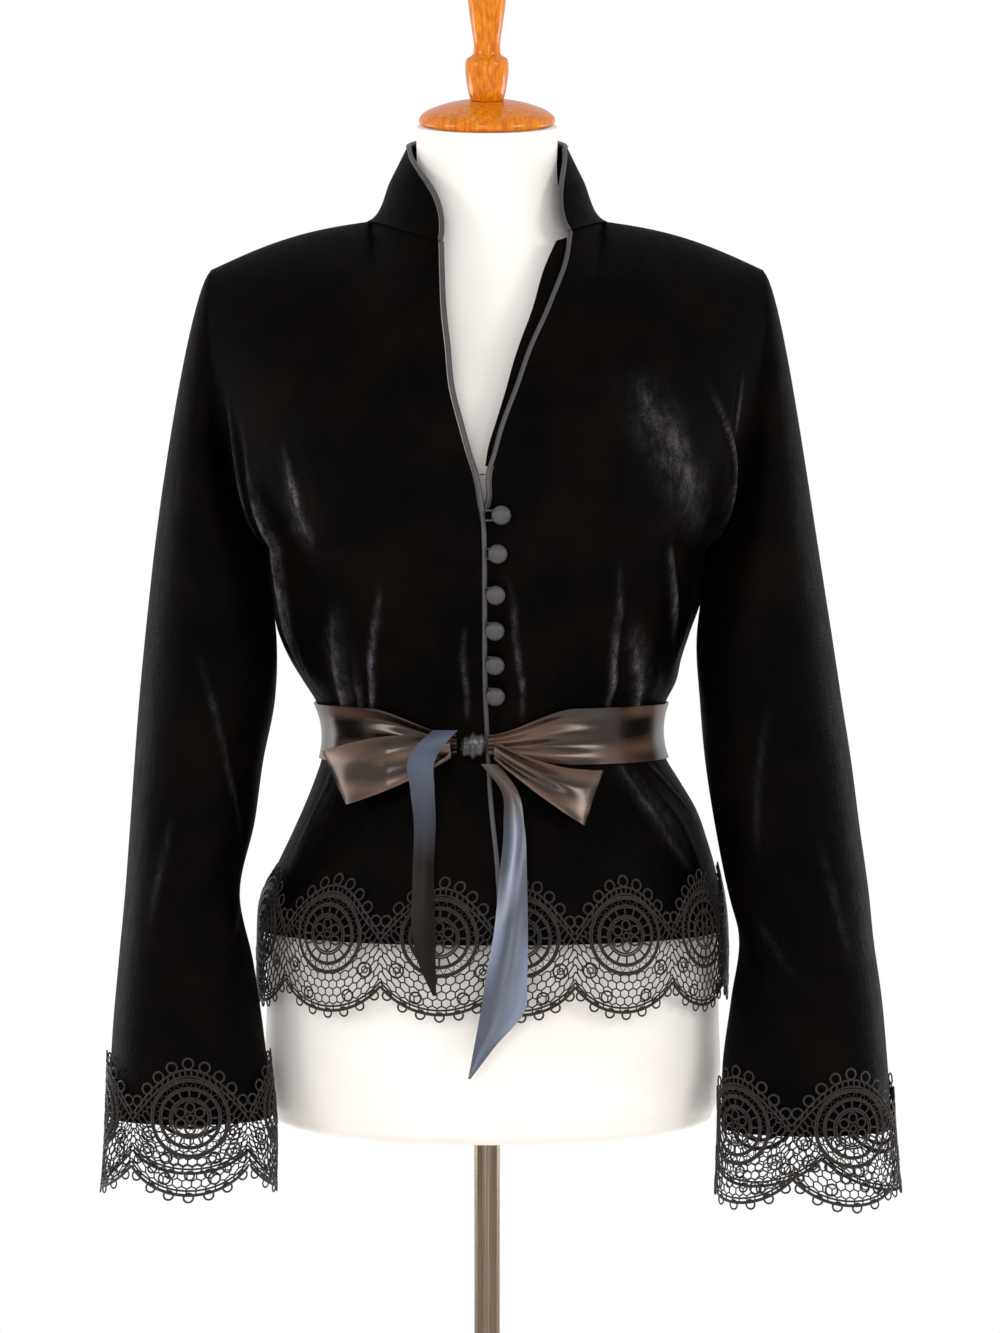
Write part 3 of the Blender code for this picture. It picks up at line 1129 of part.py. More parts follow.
def build():
    """All pieces, in the order a maker would put them together."""
    clear_scene()
    keep = levels() <= FRONT_PIPING_RISE
    for name, left in (("front_right", False), ("front_left", True)):
        outer, inner, normals = front_panel(left)
        panel = wall(name, "velvet", outer, inner)
        edge, edge_normals = outer[keep, 0], normals[keep, 0]
        if left:
            edge_piping("piping_left", edge[::-1], edge_normals[::-1])
        else:
            edge_piping("piping_right", edge, edge_normals)
    wall("facing_left", "velvet", *facing_panel())
    wall("back", "velvet", *back_panel())
    right = sleeve(-1, RIGHT_SLEEVE_ROWS, RIGHT_CUFF_HEIGHT, RIGHT_SLEEVE_FOLDS)
    wall("sleeve_right", "velvet", *right, ring=True)
    left = sleeve(1, LEFT_SLEEVE_ROWS, LEFT_CUFF_HEIGHT, LEFT_SLEEVE_FOLDS)
    wall("sleeve_left", "velvet", *left, ring=True)
    outer, inner, normals = collar()
    wall("collar", "velvet", outer, inner)
    path = np.concatenate([outer[:-1, 0], outer[-1], outer[:-1, -1][::-1]])
    path_normals = np.concatenate([normals[:-1, 0], normals[-1], normals[:-1, -1][::-1]])
    path[0] += COLLAR_PIPING_START * (path[1] - path[0])
    path[-1] += COLLAR_PIPING_START * (path[-2] - path[-1])
    edge_piping("piping_collar", path, path_normals)
    for row in BUTTON_ROWS:
        button(row, panel)
    hook_bar()
    belt()
    knot()
    for row in LOOP_ROWS:
        bow_loop(row)
    bow_tail("bow_tail_right", "satin", TAIL_ON_LEFT)
    bow_tail("bow_tail_left", "slate_satin", TAIL_ON_RIGHT)
    hem_lace()
    cuff_lace("cuff_lace_right", -1, RIGHT_SLEEVE_ROWS, RIGHT_CUFF_HEIGHT, RIGHT_CUFF_JOIN_TURN)
    cuff_lace("cuff_lace_left", 1, LEFT_SLEEVE_ROWS, LEFT_CUFF_HEIGHT, LEFT_CUFF_JOIN_TURN)
    dress_form()
    neck = (0.0, NECK_TOP_DEPTH, NECK_TOP_HEIGHT)
    turned("neck_cap", "amber_wood", CAP_ROWS, TURNED_SIDES, neck, NECK_TILT)
    turned("finial", "amber_wood", FINIAL_ROWS, TURNED_SIDES, neck, NECK_TILT)
    pole_rows = (TurnedRow(POLE_RADIUS, POLE_FOOT), TurnedRow(POLE_RADIUS, POLE_HEAD))
    turned("pole", "steel", pole_rows, POLE_SIDES)
    turned("base", "steel", BASE_ROWS, BASE_SIDES)


build()
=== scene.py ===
"""Dressed scene of a black velvet blazer with guipure lace and a ribbon belt, on a limbless dress form.

Each sub-assembly is a class: its fields are sizes in metres and its methods work out surfaces and dress them.
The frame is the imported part's: +Z up, the front faces -Y, +X is the wearer's left.
"""

import logging
import math
from dataclasses import dataclass
from enum import Enum
from typing import Callable, NamedTuple, Sequence

import bpy
import numpy as np
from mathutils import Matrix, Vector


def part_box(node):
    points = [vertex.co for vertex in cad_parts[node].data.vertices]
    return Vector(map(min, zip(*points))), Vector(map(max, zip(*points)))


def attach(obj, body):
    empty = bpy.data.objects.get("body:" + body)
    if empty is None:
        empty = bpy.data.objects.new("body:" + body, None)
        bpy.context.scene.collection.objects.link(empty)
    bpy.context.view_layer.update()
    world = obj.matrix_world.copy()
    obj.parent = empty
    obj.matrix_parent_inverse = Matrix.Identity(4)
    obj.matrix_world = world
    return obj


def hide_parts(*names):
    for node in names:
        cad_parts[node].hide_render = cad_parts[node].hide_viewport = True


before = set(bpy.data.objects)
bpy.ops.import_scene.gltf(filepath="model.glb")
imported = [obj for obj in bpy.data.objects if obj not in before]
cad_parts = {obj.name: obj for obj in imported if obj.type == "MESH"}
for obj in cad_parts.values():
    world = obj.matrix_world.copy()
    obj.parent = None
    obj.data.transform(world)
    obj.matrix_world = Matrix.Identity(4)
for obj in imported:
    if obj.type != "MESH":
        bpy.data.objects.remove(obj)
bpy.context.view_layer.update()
PAINTED_SHEEN = "parted"
Array = np.ndarray
Socket = bpy.types.NodeSocket
log = logging.getLogger("blazer")


class Face(Enum):
    """The two faces of the body."""

    FRONT = -1
    BACK = 1


class Side(Enum):
    """The wearer's two sides."""

    RIGHT = -1
    LEFT = 1


# Small tools for tables, curves and surfaces


def table(kind: type, *rows: tuple) -> tuple:
    """Table whose rows are all of one kind."""
    return tuple(kind(*row) for row in rows)


def hermite(start: Array, start_slope: Array, end: Array, end_slope: Array, share: Array) -> Array:
    """Cubic from start to end with the given slopes.

    Args:
        start, start_slope: value and slope where share is 0.
        end, end_slope: value and slope where share is 1.
        share: place along the cubic.
    Returns:
        The values at each share.
    """
    square = share * share
    cube = square * share
    first = (2 * cube - 3 * square + 1) * start + (cube - 2 * square + share) * start_slope
    return first + (3 * square - 2 * cube) * end + (cube - square) * end_slope


def spline(keys: Array, values: Array, at: Array) -> Array:
    """Smooth curve through values: a cubic from each to the next, its slopes taken from both neighbours.

    Args:
        keys: where the values stand, in order.
        values: a value or a row of them for each key.
        at: where to read the curve.
    Returns:
        The value or row at each place.
    """
    slopes = np.gradient(values, keys, axis=0)
    span = np.clip(np.searchsorted(keys, at, side="right") - 1, 0, len(keys) - 2)
    more = (...,) + (None,) * (values.ndim - 1)
    width = (keys[span + 1] - keys[span])[more]
    share = (at - keys[span])[more] / width
    return hermite(values[span], slopes[span] * width, values[span + 1], slopes[span + 1] * width, share)


def follow(rows: Sequence, key: str, column: str, at: Array) -> Array:
    """Smooth curve through one column of a table.

    Args:
        rows: table rows, sorted by key.
        key: name of the column that at is given in.
        column: name of the column that is read.
        at: where to read it.
    Returns:
        The column's values there.
    """
    keys = np.array([getattr(row, key) for row in rows])
    values = np.array([getattr(row, column) for row in rows])
    return spline(keys, values, np.clip(np.asarray(at, dtype=float), keys[0], keys[-1]))


def follow_each(rows: Sequence, key: str, at: Array, *columns: str) -> list[Array]:
    """Smooth curves through several columns of a table, all read at the same places."""
    return [follow(rows, key, column, at) for column in columns]


def ease(value: Array) -> Array:
    """Smooth step from 0 to 1."""
    value = np.clip(value, 0.0, 1.0)
    return value * value * (3 - 2 * value)


def even_turns(count: int) -> Array:
    """Angles evenly round a circle."""
    return np.arange(count) * 2 * math.pi / count


def stacked(*columns: Array) -> Array:
    """Columns side by side on a new last axis."""
    return np.stack(columns, axis=-1)


def unit(vectors: Array) -> Array:
    """Vectors scaled to length one."""
    return vectors / np.maximum(np.linalg.norm(vectors, axis=-1, keepdims=True), 1e-12)


def grid_normals(grid: Array) -> Array:
    """Direction square to a grid at each of its points."""
    return unit(np.cross(np.gradient(grid, axis=0), np.gradient(grid, axis=1)))


def lengths_along(points: Array) -> Array:
    """Length walked along a path to each of its points."""
    steps = np.linalg.norm(np.diff(points, axis=0), axis=1)
    return np.concatenate([[0.0], np.cumsum(steps)])


class FlatCut(NamedTuple):
    """Flat size of a cloth piece: width, length and area."""

    width: float
    length: float
    area: float


def flat_cut(grid: Array, ring: bool = False) -> FlatCut:
    """Flat size of the cloth on a grid: its longest row, its longest column and the sum of its cells.

    Args:
        grid: points by row and column.
        ring: whether the last column joins the first.
    Returns:
        The flat cut.
    """
    if ring:
        grid = np.concatenate([grid, grid[:, :1]], axis=1)
    width = np.linalg.norm(np.diff(grid, axis=1), axis=-1).sum(axis=1).max()
    length = np.linalg.norm(np.diff(grid, axis=0), axis=-1).sum(axis=0).max()
    first = np.cross(grid[1:, 1:] - grid[:-1, :-1], grid[1:, :-1] - grid[:-1, 1:])
    area = 0.5 * np.linalg.norm(first, axis=-1).sum()
    return FlatCut(float(width), float(length), float(min(area, width * length)))


# Meshes


def add_object(name: str, data: bpy.types.ID) -> bpy.types.Object:
    """New object, linked to the scene.

    Args:
        name: the object's name.
        data: its mesh, lamp or camera.
    Returns:
        The object.
    """
    piece = bpy.data.objects.new(name, data)
    bpy.context.scene.collection.objects.link(piece)
    return piece


def add_mesh(name: str, vertices: Array, faces: list, places: Array, sharp: float = 50.0) -> bpy.types.Object:
    """Object at the origin with smooth faces that point outwards.

    Args:
        name: the object's name.
        vertices: points in metres.
        faces: vertex numbers of each face.
        places: flat place of each vertex in metres, kept as the UV map.
        sharp: edges that bend more than this many degrees stay sharp.
    Returns:
        The new object, linked to the scene.
    """
    mesh = bpy.data.meshes.new(name)
    mesh.from_pydata(vertices.tolist(), [], faces)
    mesh.update()
    mesh.calc_loop_triangles()
    corners = np.empty(len(mesh.loop_triangles) * 3, dtype=np.int32)
    mesh.loop_triangles.foreach_get("vertices", corners)
    a, b, c = vertices[corners.reshape(-1, 3)].transpose(1, 0, 2)
    if np.sum(a * np.cross(b, c)) < 0:
        mesh.flip_normals()
    used = np.empty(len(mesh.loops), dtype=np.int32)
    mesh.loops.foreach_get("vertex_index", used)
    layer = mesh.uv_layers.new(name="UVMap")
    layer.data.foreach_set("uv", places[used].astype(np.float32).ravel())
    mesh.shade_smooth()
    mesh.set_sharp_from_angle(angle=math.radians(sharp))
    return add_object(name, mesh)


def grid_places(grid: Array) -> Array:
    """Flat place of each grid point: length along its row and along the middle column.

    Args:
        grid: points by row and column.
    Returns:
        Both lengths of each point.
    """
    along = np.linalg.norm(np.diff(grid, axis=1), axis=-1)
    along = np.concatenate([np.zeros((len(grid), 1)), np.cumsum(along, axis=1)], axis=1)
    middle = lengths_along(grid[:, grid.shape[1] // 2])
    return stacked(along, np.broadcast_to(middle[:, None], along.shape)).reshape(-1, 2)


def numbers_of(rows: int, columns: int, ring: bool) -> Array:
    """Vertex numbers of a grid; ring repeats the first column after the last."""
    index = np.arange(rows * columns).reshape(rows, columns)
    return np.concatenate([index, index[:, :1]], axis=1) if ring else index


def quads_of(rows: int, columns: int, ring: bool) -> Array:
    """Vertex numbers of a grid's cells; ring joins the last column to the first."""
    index = numbers_of(rows, columns, ring)
    return stacked(index[:-1, :-1], index[:-1, 1:], index[1:, 1:], index[1:, :-1]).reshape(-1, 4)


def add_shell(
    name: str, outer: Array, inner: Array, ring: bool = False, parted: Array | None = None
) -> bpy.types.Object:
    """Closed thin shell between an outer and an inner grid.

    Args:
        name: the object's name.
        outer, inner: points by row and column.
        ring: whether the last column joins the first.
        parted: share of painted sheen at each outer point, kept as an attribute.
    Returns:
        The new object.
    """
    rows, columns = outer.shape[:2]
    quads = quads_of(rows, columns, ring)
    offset = rows * columns
    index = numbers_of(rows, columns, ring)
    borders = [index[0][::-1], index[-1]]
    if not ring:
        borders += [index[:, 0], index[:, -1][::-1]]
    strips = [stacked(line[:-1], line[1:], line[1:] + offset, line[:-1] + offset) for line in borders]
    faces = np.concatenate([quads, quads[:, ::-1] + offset] + strips)
    vertices = np.concatenate([outer.reshape(-1, 3), inner.reshape(-1, 3)])
    places = grid_places(outer)
    piece = add_mesh(name, vertices, faces.tolist(), np.concatenate([places, places]))
    # Share of painted sheen, read by the velvet's colour.
    if parted is not None:
        layer = piece.data.attributes.new(PAINTED_SHEEN, "FLOAT", "POINT")
        layer.data.foreach_set("value", np.concatenate([parted.ravel(), np.zeros(offset)]))
    return piece


def tube_faces(count: int, sides: int, first: int = 0) -> list:
    """Vertex numbers of a closed tube's faces, counted from the first, each end closed by one face.

    Args:
        count: rings of the tube.
        sides: points in a ring.
        first: number of its first vertex.
    Returns:
        The faces.
    """
    last = first + (count - 1) * sides
    ends = [list(range(first, first + sides))[::-1], list(range(last, last + sides))]
    return (quads_of(count, sides, True) + first).tolist() + ends


def add_rings(name: str, rings: Array, sharp: float = 50.0) -> bpy.types.Object:
    """Closed solid through rings of points."""
    return add_mesh(name, rings.reshape(-1, 3), tube_faces(*rings.shape[:2]), grid_places(rings), sharp)


def tube_rings(path: Array, outwards: Array, radius: Array, sides: int) -> Array:
    """Rings of a round tube along a path.

    Args:
        path: middle of the tube.
        outwards: a direction across the path at each point.
        radius: the tube's radius at each point.
        sides: points in a ring.
    Returns:
        Points by path point and side.
    """
    along = unit(np.gradient(path, axis=0))
    across = unit(outwards - along * np.sum(outwards * along, axis=-1, keepdims=True))
    upright = np.cross(along, across)
    turn = even_turns(sides)
    ring = np.cos(turn)[None, :, None] * across[:, None] + np.sin(turn)[None, :, None] * upright[:, None]
    return path[:, None] + np.reshape(radius, (-1, 1, 1)) * ring


# Finishes


def colour_of(code: str) -> tuple[float, float, float, float]:
    """Linear colour from an sRGB hex code.

    Args:
        code: the colour as #rrggbb.
    Returns:
        Red, green, blue and alpha.
    """
    values = np.array([int(code[i:i + 2], 16) for i in (1, 3, 5)]) / 255
    linear = np.where(values <= 0.04045, values / 12.92, ((values + 0.055) / 1.055) ** 2.4)
    return (*(float(v) for v in linear), 1.0)


def add_node(tree: bpy.types.NodeTree, kind: str, settings: dict, links: dict) -> bpy.types.Node:
    """Shader node with its settings and links.

    Args:
        tree: node tree of the material.
        kind: the node's type name.
        settings: sockets by name, or the node's own properties.
        links: output socket to join to each named input.
    Returns:
        The node.
    """
    node = tree.nodes.new(kind)
    for name, value in settings.items():
        if isinstance(name, str) and hasattr(node, name):
            setattr(node, name, value)
        else:
            node.inputs[name].default_value = value
    for name, output in links.items():
        tree.links.new(output, node.inputs[name])
    return node


class Recipe:
    """A material being put together: its node tree and its main shader."""

    def __init__(self, name: str, settings: dict) -> None:
        """Start the material.

        Args:
            name: name of the finish.
            settings: constants of the main shader, by socket.
        """
        self.material = bpy.data.materials.new("finish_" + name)
        self.material.use_nodes = True
        self.tree = self.material.node_tree
        self.shader = self.tree.nodes["Principled BSDF"]
        for socket, value in settings.items():
            self.shader.inputs[socket].default_value = value

    def places(self, kind: str) -> Socket:
        """Texture coordinates of a kind."""
        return add_node(self.tree, "ShaderNodeTexCoord", {}, {}).outputs[kind]

    def noise(
        self, cell: float | Sequence[float], detail: float, kind: str = "Object", stir: float = 0.0
    ) -> Socket:
        """Noise whose cells have a real size.

        Args:
            cell: size of a cell in metres, for all axes or for each.
            detail: finer layers.
            kind: the coordinates it is read in.
            stir: how far it is stirred.
        Returns:
            The value.
        """
        stretch = (1 / np.broadcast_to(cell, 3)).tolist()
        drawn = add_node(self.tree, "ShaderNodeMapping", {"Scale": stretch}, {"Vector": self.places(kind)})
        settings = {"Scale": 1.0, "Detail": detail, "Distortion": stir}
        links = {"Vector": drawn.outputs["Vector"]}
        return add_node(self.tree, "ShaderNodeTexNoise", settings, links).outputs["Fac"]

    def ramp(self, value: Socket, *stops: tuple[float, str]) -> Socket:
        """Colour between two stops, each a place and a colour code, read by a value.

        Args:
            value: the value.
            stops: place and colour code of each stop.
        Returns:
            The colour.
        """
        node = add_node(self.tree, "ShaderNodeValToRGB", {}, {"Fac": value})
        for element, (place, code) in zip(node.color_ramp.elements, stops):
            element.position = place
            element.color = colour_of(code)
        return node.outputs["Color"]

    def spread(
        self, value: Socket, low: float, high: float, to_low: float = 0.0, to_high: float = 1.0
    ) -> Socket:
        """Value stretched from one range to another.

        Args:
            value: the value.
            low, high: the range it is read in.
            to_low, to_high: the range it is stretched to.
        Returns:
            The stretched value.
        """
        settings = {"From Min": low, "From Max": high, "To Min": to_low, "To Max": to_high}
        return add_node(self.tree, "ShaderNodeMapRange", settings, {"Value": value}).outputs["Result"]

    def product(self, first: Socket, second: Socket, clamp: bool = False) -> Socket:
        """Product of two values, kept from 0 to 1 if asked."""
        settings = {"operation": "MULTIPLY", "use_clamp": clamp}
        return add_node(self.tree, "ShaderNodeMath", settings, {0: first, 1: second}).outputs["Value"]

    def mix(self, share: Socket, colour: Socket, code: str) -> Socket:
        """Colour mixed with a second one by a share."""
        settings = {"data_type": "RGBA", 7: colour_of(code)}
        return add_node(self.tree, "ShaderNodeMix", settings, {0: share, 6: colour}).outputs[2]

    def join(self, socket: str, output: Socket) -> None:
        """Join an output to a socket of the main shader."""
        self.tree.links.new(output, self.shader.inputs[socket])

    def finish(self, colour: Socket, height: Socket, strength: float, depth: float) -> bpy.types.Material:
        """Join the colour and a bump to the main shader.

        Args:
            colour: the colour.
            height: what the bump follows.
            strength: the bump's strength.
            depth: the bump's depth in metres.
        Returns:
            The material.
        """
        settings = {"Strength": strength, "Distance": depth}
        bump = add_node(self.tree, "ShaderNodeBump", settings, {"Height": height})
        self.join("Base Color", colour)
        self.join("Normal", bump.outputs["Normal"])
        return self.material


@dataclass(frozen=True)
class Velvet:
    """Silk velvet: a cut pile about 1.5 mm deep that swallows light head on.

    Along sharp creases and in patches, grainy grey streaks of painted sheen are mixed into its colour; the
    shader keeps a faint sheen at a slant.
    The pile's tufts are coarsened from 0.3 mm to 1.5 mm so that they show at the picture's scale.
    """

    name: str = "velvet"
    dark: str = "#020101"
    light: str = "#080503"
    # Colour of the painted sheen along creases and in patches.
    parted: str = "#68636a"
    tuft: float = 0.0015
    brushed: float = 0.055
    ruffled: float = 0.014
    strand: tuple = (0.004, 0.004, 0.022)
    grain_spread: tuple = (0.12, 0.38, 0.15, 1.3)
    blotch_spread: tuple = (0.36, 0.64, 0.45, 1.4)
    roughness_spread: tuple = (0.0, 1.0, 0.40, 0.70)
    specular: float = 0.022
    sheen: float = 0.008
    sheen_tint: str = "#c9c6cf"

    def build(self) -> bpy.types.Material:
        """Material with brushed patches in its tone, painted sheen streaks and patches mixed into its colour,
        and a fine pile in its bump.

        Returns:
            The material.
        """
        recipe = Recipe(self.name, {
            "Specular IOR Level": self.specular,
            "Sheen Weight": self.sheen,
            "Sheen Roughness": 0.3,
            "Sheen Tint": colour_of(self.sheen_tint),
        })
        tone = recipe.ramp(recipe.noise(self.brushed, 6.0), (0.35, self.dark), (0.65, self.light))
        pile = recipe.noise(self.tuft, 3.0)
        strands = recipe.noise(self.strand, 3.0)
        grain = recipe.spread(recipe.product(pile, strands), *self.grain_spread)
        blotch = recipe.spread(recipe.noise(self.ruffled, 3.0), *self.blotch_spread)
        # Painted sheen: the share kept on each piece, thinned by grain and blotch noise, mixes the sheen
        # colour into the tone.
        parted = add_node(recipe.tree, "ShaderNodeAttribute", {"attribute_name": PAINTED_SHEEN}, {}).outputs["Fac"]
        shown = recipe.product(grain, recipe.product(blotch, parted), True)
        recipe.join("Roughness", recipe.spread(strands, *self.roughness_spread))
        return recipe.finish(recipe.mix(shown, tone, self.parted), pile, 0.7, 0.0006)


@dataclass(frozen=True)
class Satin:
    """Polyester satin: long floats of smooth thread that give a bright, soft-edged gloss across them.

    The floats are coarsened from 0.2 mm to 0.5 mm across so that they show. Where a pale colour is given,
    soft bands of painted highlight in it run along the ribbon. Where the upper colour is given, it takes over
    above the turn's height: on the dark tail a bluish painted highlight, on the slate tail the ribbon's brown
    above its bluish painted reflection. Floats and bands have a size along, across and out of it.
    """

    name: str
    base: str
    deep: str
    gloss: float = 0.30
    shine: float = 0.35
    glint: str = "#ffffff"
    pale: str = ""
    upper: str = ""
    turn_low: float = 0.970
    turn_high: float = 1.035
    floats: tuple = (0.030, 0.0005, 1.0)
    bands: tuple = (0.080, 0.016, 1.0)
    band_spread: tuple = (0.42, 0.66)

    def build(self) -> bpy.types.Material:
        """Material with drawn-out thread lines in its tone and bump, and the painted highlight bands and
        upper colour mixed in where they are given.

        Returns:
            The material.
        """
        recipe = Recipe(self.name, {
            "Roughness": self.gloss,
            "Specular IOR Level": self.shine,
            "Specular Tint": colour_of(self.glint),
            "Anisotropic": 0.45,
        })
        threads = recipe.noise(self.floats, 2.0, "UV")
        colour = recipe.ramp(threads, (0.3, self.deep), (0.7, self.base))
        # Painted highlight: soft pale bands along the ribbon.
        if self.pale:
            lit = recipe.spread(recipe.noise(self.bands, 0.6, "UV"), *self.band_spread)
            colour = recipe.mix(lit, colour, self.pale)
        # Upper colour above the turn's height: a painted highlight, or the ribbon's brown over a painted
        # reflection.
        if self.upper:
            place = add_node(recipe.tree, "ShaderNodeSeparateXYZ", {}, {"Vector": recipe.places("Object")})
            turned = recipe.spread(place.outputs["Z"], self.turn_low, self.turn_high)
            colour = recipe.mix(turned, colour, self.upper)
        return recipe.finish(colour, threads, 0.06, 0.0002)


@dataclass(frozen=True)
class LaceThread:
    """Guipure thread: matt rayon sewn back and forth into cords, with a slight silky edge."""

    name: str = "lace"
    dark: str = "#161210"
    light: str = "#2e2723"
    twist: float = 0.0012

    def build(self) -> bpy.types.Material:
        """Material with the thread's turns in its tone and bump.

        Returns:
            The material.
        """
        recipe = Recipe(self.name, {
            "Roughness": 0.55,
            "Specular IOR Level": 0.25,
            "Sheen Weight": 0.08,
            "Sheen Roughness": 0.4,
        })
        turns = recipe.noise(self.twist, 1.0)
        return recipe.finish(recipe.ramp(turns, (0.35, self.dark), (0.7, self.light)), turns, 0.4, 0.0003)


@dataclass(frozen=True)
class Jersey:
    """Cotton jersey stretched over the form: matt, off-white, with fine upright ribs of stitches.

    The ribs are coarsened from 0.8 mm to 1.4 mm apart; the wave texture has 20 / pi waves to a unit.
    """

    name: str = "jersey"
    base: str = "#e9e4df"
    shade: str = "#e2dcd6"
    rib: float = 0.0014
    soil: float = 0.09

    def build(self) -> bpy.types.Material:
        """Material with a faint cloudy tone and ribbed bump.

        Returns:
            The material.
        """
        recipe = Recipe(self.name, {
            "Roughness": 0.85,
            "Specular IOR Level": 0.2,
            "Sheen Weight": 1.0,
            "Sheen Roughness": 0.35,
        })
        tone = recipe.ramp(recipe.noise(self.soil, 3.0), (0.3, self.shade), (0.65, self.base))
        settings = {"Scale": math.pi / (20 * self.rib), "Distortion": 0.6}
        ribs = add_node(recipe.tree, "ShaderNodeTexWave", settings, {"Vector": recipe.places("UV")})
        return recipe.finish(tone, ribs.outputs["Fac"], 0.08, 0.0003)


@dataclass(frozen=True)
class LacqueredWood:
    """Turned beech under amber lacquer: warm grain seen through a hard, glossy coat."""

    name: str = "amber_wood"
    dark: str = "#b35a03"
    light: str = "#dd820c"
    grain: tuple = (0.0022, 0.0022, 0.09)

    def build(self) -> bpy.types.Material:
        """Material with upright grain under a clear coat.

        Returns:
            The material.
        """
        recipe = Recipe(self.name, {
            "Roughness": 0.35,
            "Specular IOR Level": 0.1,
            "Coat Weight": 0.40,
            "Coat Roughness": 0.08,
        })
        grain = recipe.noise(self.grain, 3.0, stir=0.2)
        return recipe.finish(recipe.ramp(grain, (0.3, self.dark), (0.7, self.light)), grain, 0.05, 0.0002)


@dataclass(frozen=True)
class Steel:
    """Drawn steel: a clear metal whose fine drawing lines blur reflections across the tube."""

    name: str
    base: str
    dull: str
    roughness: float
    lines: tuple = (0.0006, 0.0006, 0.08)

    def build(self) -> bpy.types.Material:
        """Material with drawing lines in its tone and bump.

        Returns:
            The material.
        """
        recipe = Recipe(self.name, {"Metallic": 1.0, "Roughness": self.roughness})
        lines = recipe.noise(self.lines, 2.0)
        return recipe.finish(recipe.ramp(lines, (0.35, self.dull), (0.65, self.base)), lines, 0.06, 0.0001)


class Wardrobe:
    """Builds each finish once and dresses pieces with it."""

    def __init__(self, finishes: Sequence, shared: dict[str, str]) -> None:
        """Build the materials.

        Args:
            finishes: the finishes, each with a name that is a slot of the record unless it shares one.
            shared: the slot of each finish that shares another's.
        """
        self.materials = {finish.name: finish.build() for finish in finishes}
        self.shared = shared

    def dress(
        self, piece: bpy.types.Object, finish: str, nodes: Sequence[str], sheet: FlatCut | None = None,
    ) -> None:
        """Give a piece its finish, attach it to the root and hide the nodes it stands for.

        Args:
            piece: the finished object.
            finish: name of its finish.
            nodes: nodes of the frame it replaces.
            sheet: flat cut of the cloth, for a sheet.
        """
        piece.data.materials.append(self.materials[finish])
        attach(piece, "root")
        if nodes:
            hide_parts(*nodes)
        if sheet is not None:
            log.info("%s: cut %.3f x %.3f m, %.4f m2", piece.name, *sheet)
        log.info("%s: %d faces", piece.name, len(piece.data.polygons))

    def sheet(
        self, prefix: str, node: str, finish: str, held: str, outer: Array, inner: Array, ring: bool = False,
        parted: Array | None = None,
    ) -> None:
        """Make a thin shell of cloth and dress it as a sheet.

        Args:
            prefix: what the piece's name starts with, before the node's.
            node: the node it stands for.
            finish: name of its finish.
            held: how it is held; not used.
            outer, inner, ring, parted: as for add_shell.
        """
        piece = add_shell(prefix + node, outer, inner, ring, parted)
        self.dress(piece, finish, [node], flat_cut(outer, ring))

    def paint(self, node: str, slot: str) -> None:
        """Give a node of the frame that stays its finish.

        Args:
            node: the node.
            slot: name of its finish.
        """
        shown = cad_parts[node]
        shown.data.materials.clear()
        shown.data.materials.append(self.materials[slot])


# Jacket body


class TorsoRow(NamedTuple):
    """Outer section of the jacket below the armpit: half width, depth before and behind, sideways lean."""

    height: float
    half_width: float
    front: float
    back: float
    lean: float


class UpperRow(NamedTuple):
    """Centre line above the armpit, by share of the rise to the shoulder seam."""

    rise: float
    height: float
    depth: float
    roundness: float


class EdgeRow(NamedTuple):
    """Sideways place of the two front edges by height."""

    height: float
    right_front: float
    left_front: float


class Crease(NamedTuple):
    """A fold or crease: lower and upper end, bend, half width, stand, where it is strongest, trough.

    A crease with a trough is a sharp one, with a streak of painted sheen along its top.
    """

    across_low: float
    height_low: float
    across_high: float
    height_high: float
    bend: float
    width: float
    stand: float
    peak: float
    trough: float


TORSO_ROWS = table(
    TorsoRow,
    (0.84, 0.1665, 0.126, 0.1235, 0.004),
    (0.906, 0.1678, 0.127, 0.124, 0.004),
    (0.9326, 0.1655, 0.125, 0.1215, 0.004),
    (0.9542, 0.1592, 0.1205, 0.1165, 0.006),
    (0.9758, 0.151, 0.1145, 0.1085, 0.008),
    (0.9974, 0.1422, 0.108, 0.0995, 0.009),
    (1.019, 0.1315, 0.1015, 0.091, 0.007),
    (1.034, 0.1245, 0.0975, 0.086, 0.005),
    (1.055, 0.1215, 0.0955, 0.084, 0.004),
    (1.075, 0.1262, 0.0985, 0.086, 0.003),
    (1.09, 0.1345, 0.1035, 0.0898, 0.002),
    (1.106, 0.1412, 0.1098, 0.0928, -0.001),
    (1.124, 0.148, 0.117, 0.096, -0.002),
    (1.149, 0.1545, 0.125, 0.1, 0.0),
    (1.174, 0.1572, 0.13, 0.1025, 0.0),
    (1.188, 0.158, 0.1305, 0.1035, 0.0),
)
UPPER_FRONT = table(
    UpperRow,
    (0.0, 1.188, 0.1305, 1.0),
    (0.2, 1.232, 0.1285, 0.85),
    (0.4, 1.276, 0.1195, 0.62),
    (0.6, 1.318, 0.1065, 0.45),
    (0.72, 1.342, 0.098, 0.36),
)
UPPER_BACK = table(
    UpperRow,
    (0.0, 1.188, 0.1035, 1.0),
    (0.2, 1.233, 0.106, 0.9),
    (0.4, 1.278, 0.107, 0.8),
    (0.6, 1.322, 0.104, 0.65),
    (0.72, 1.348, 0.1, 0.55),
)
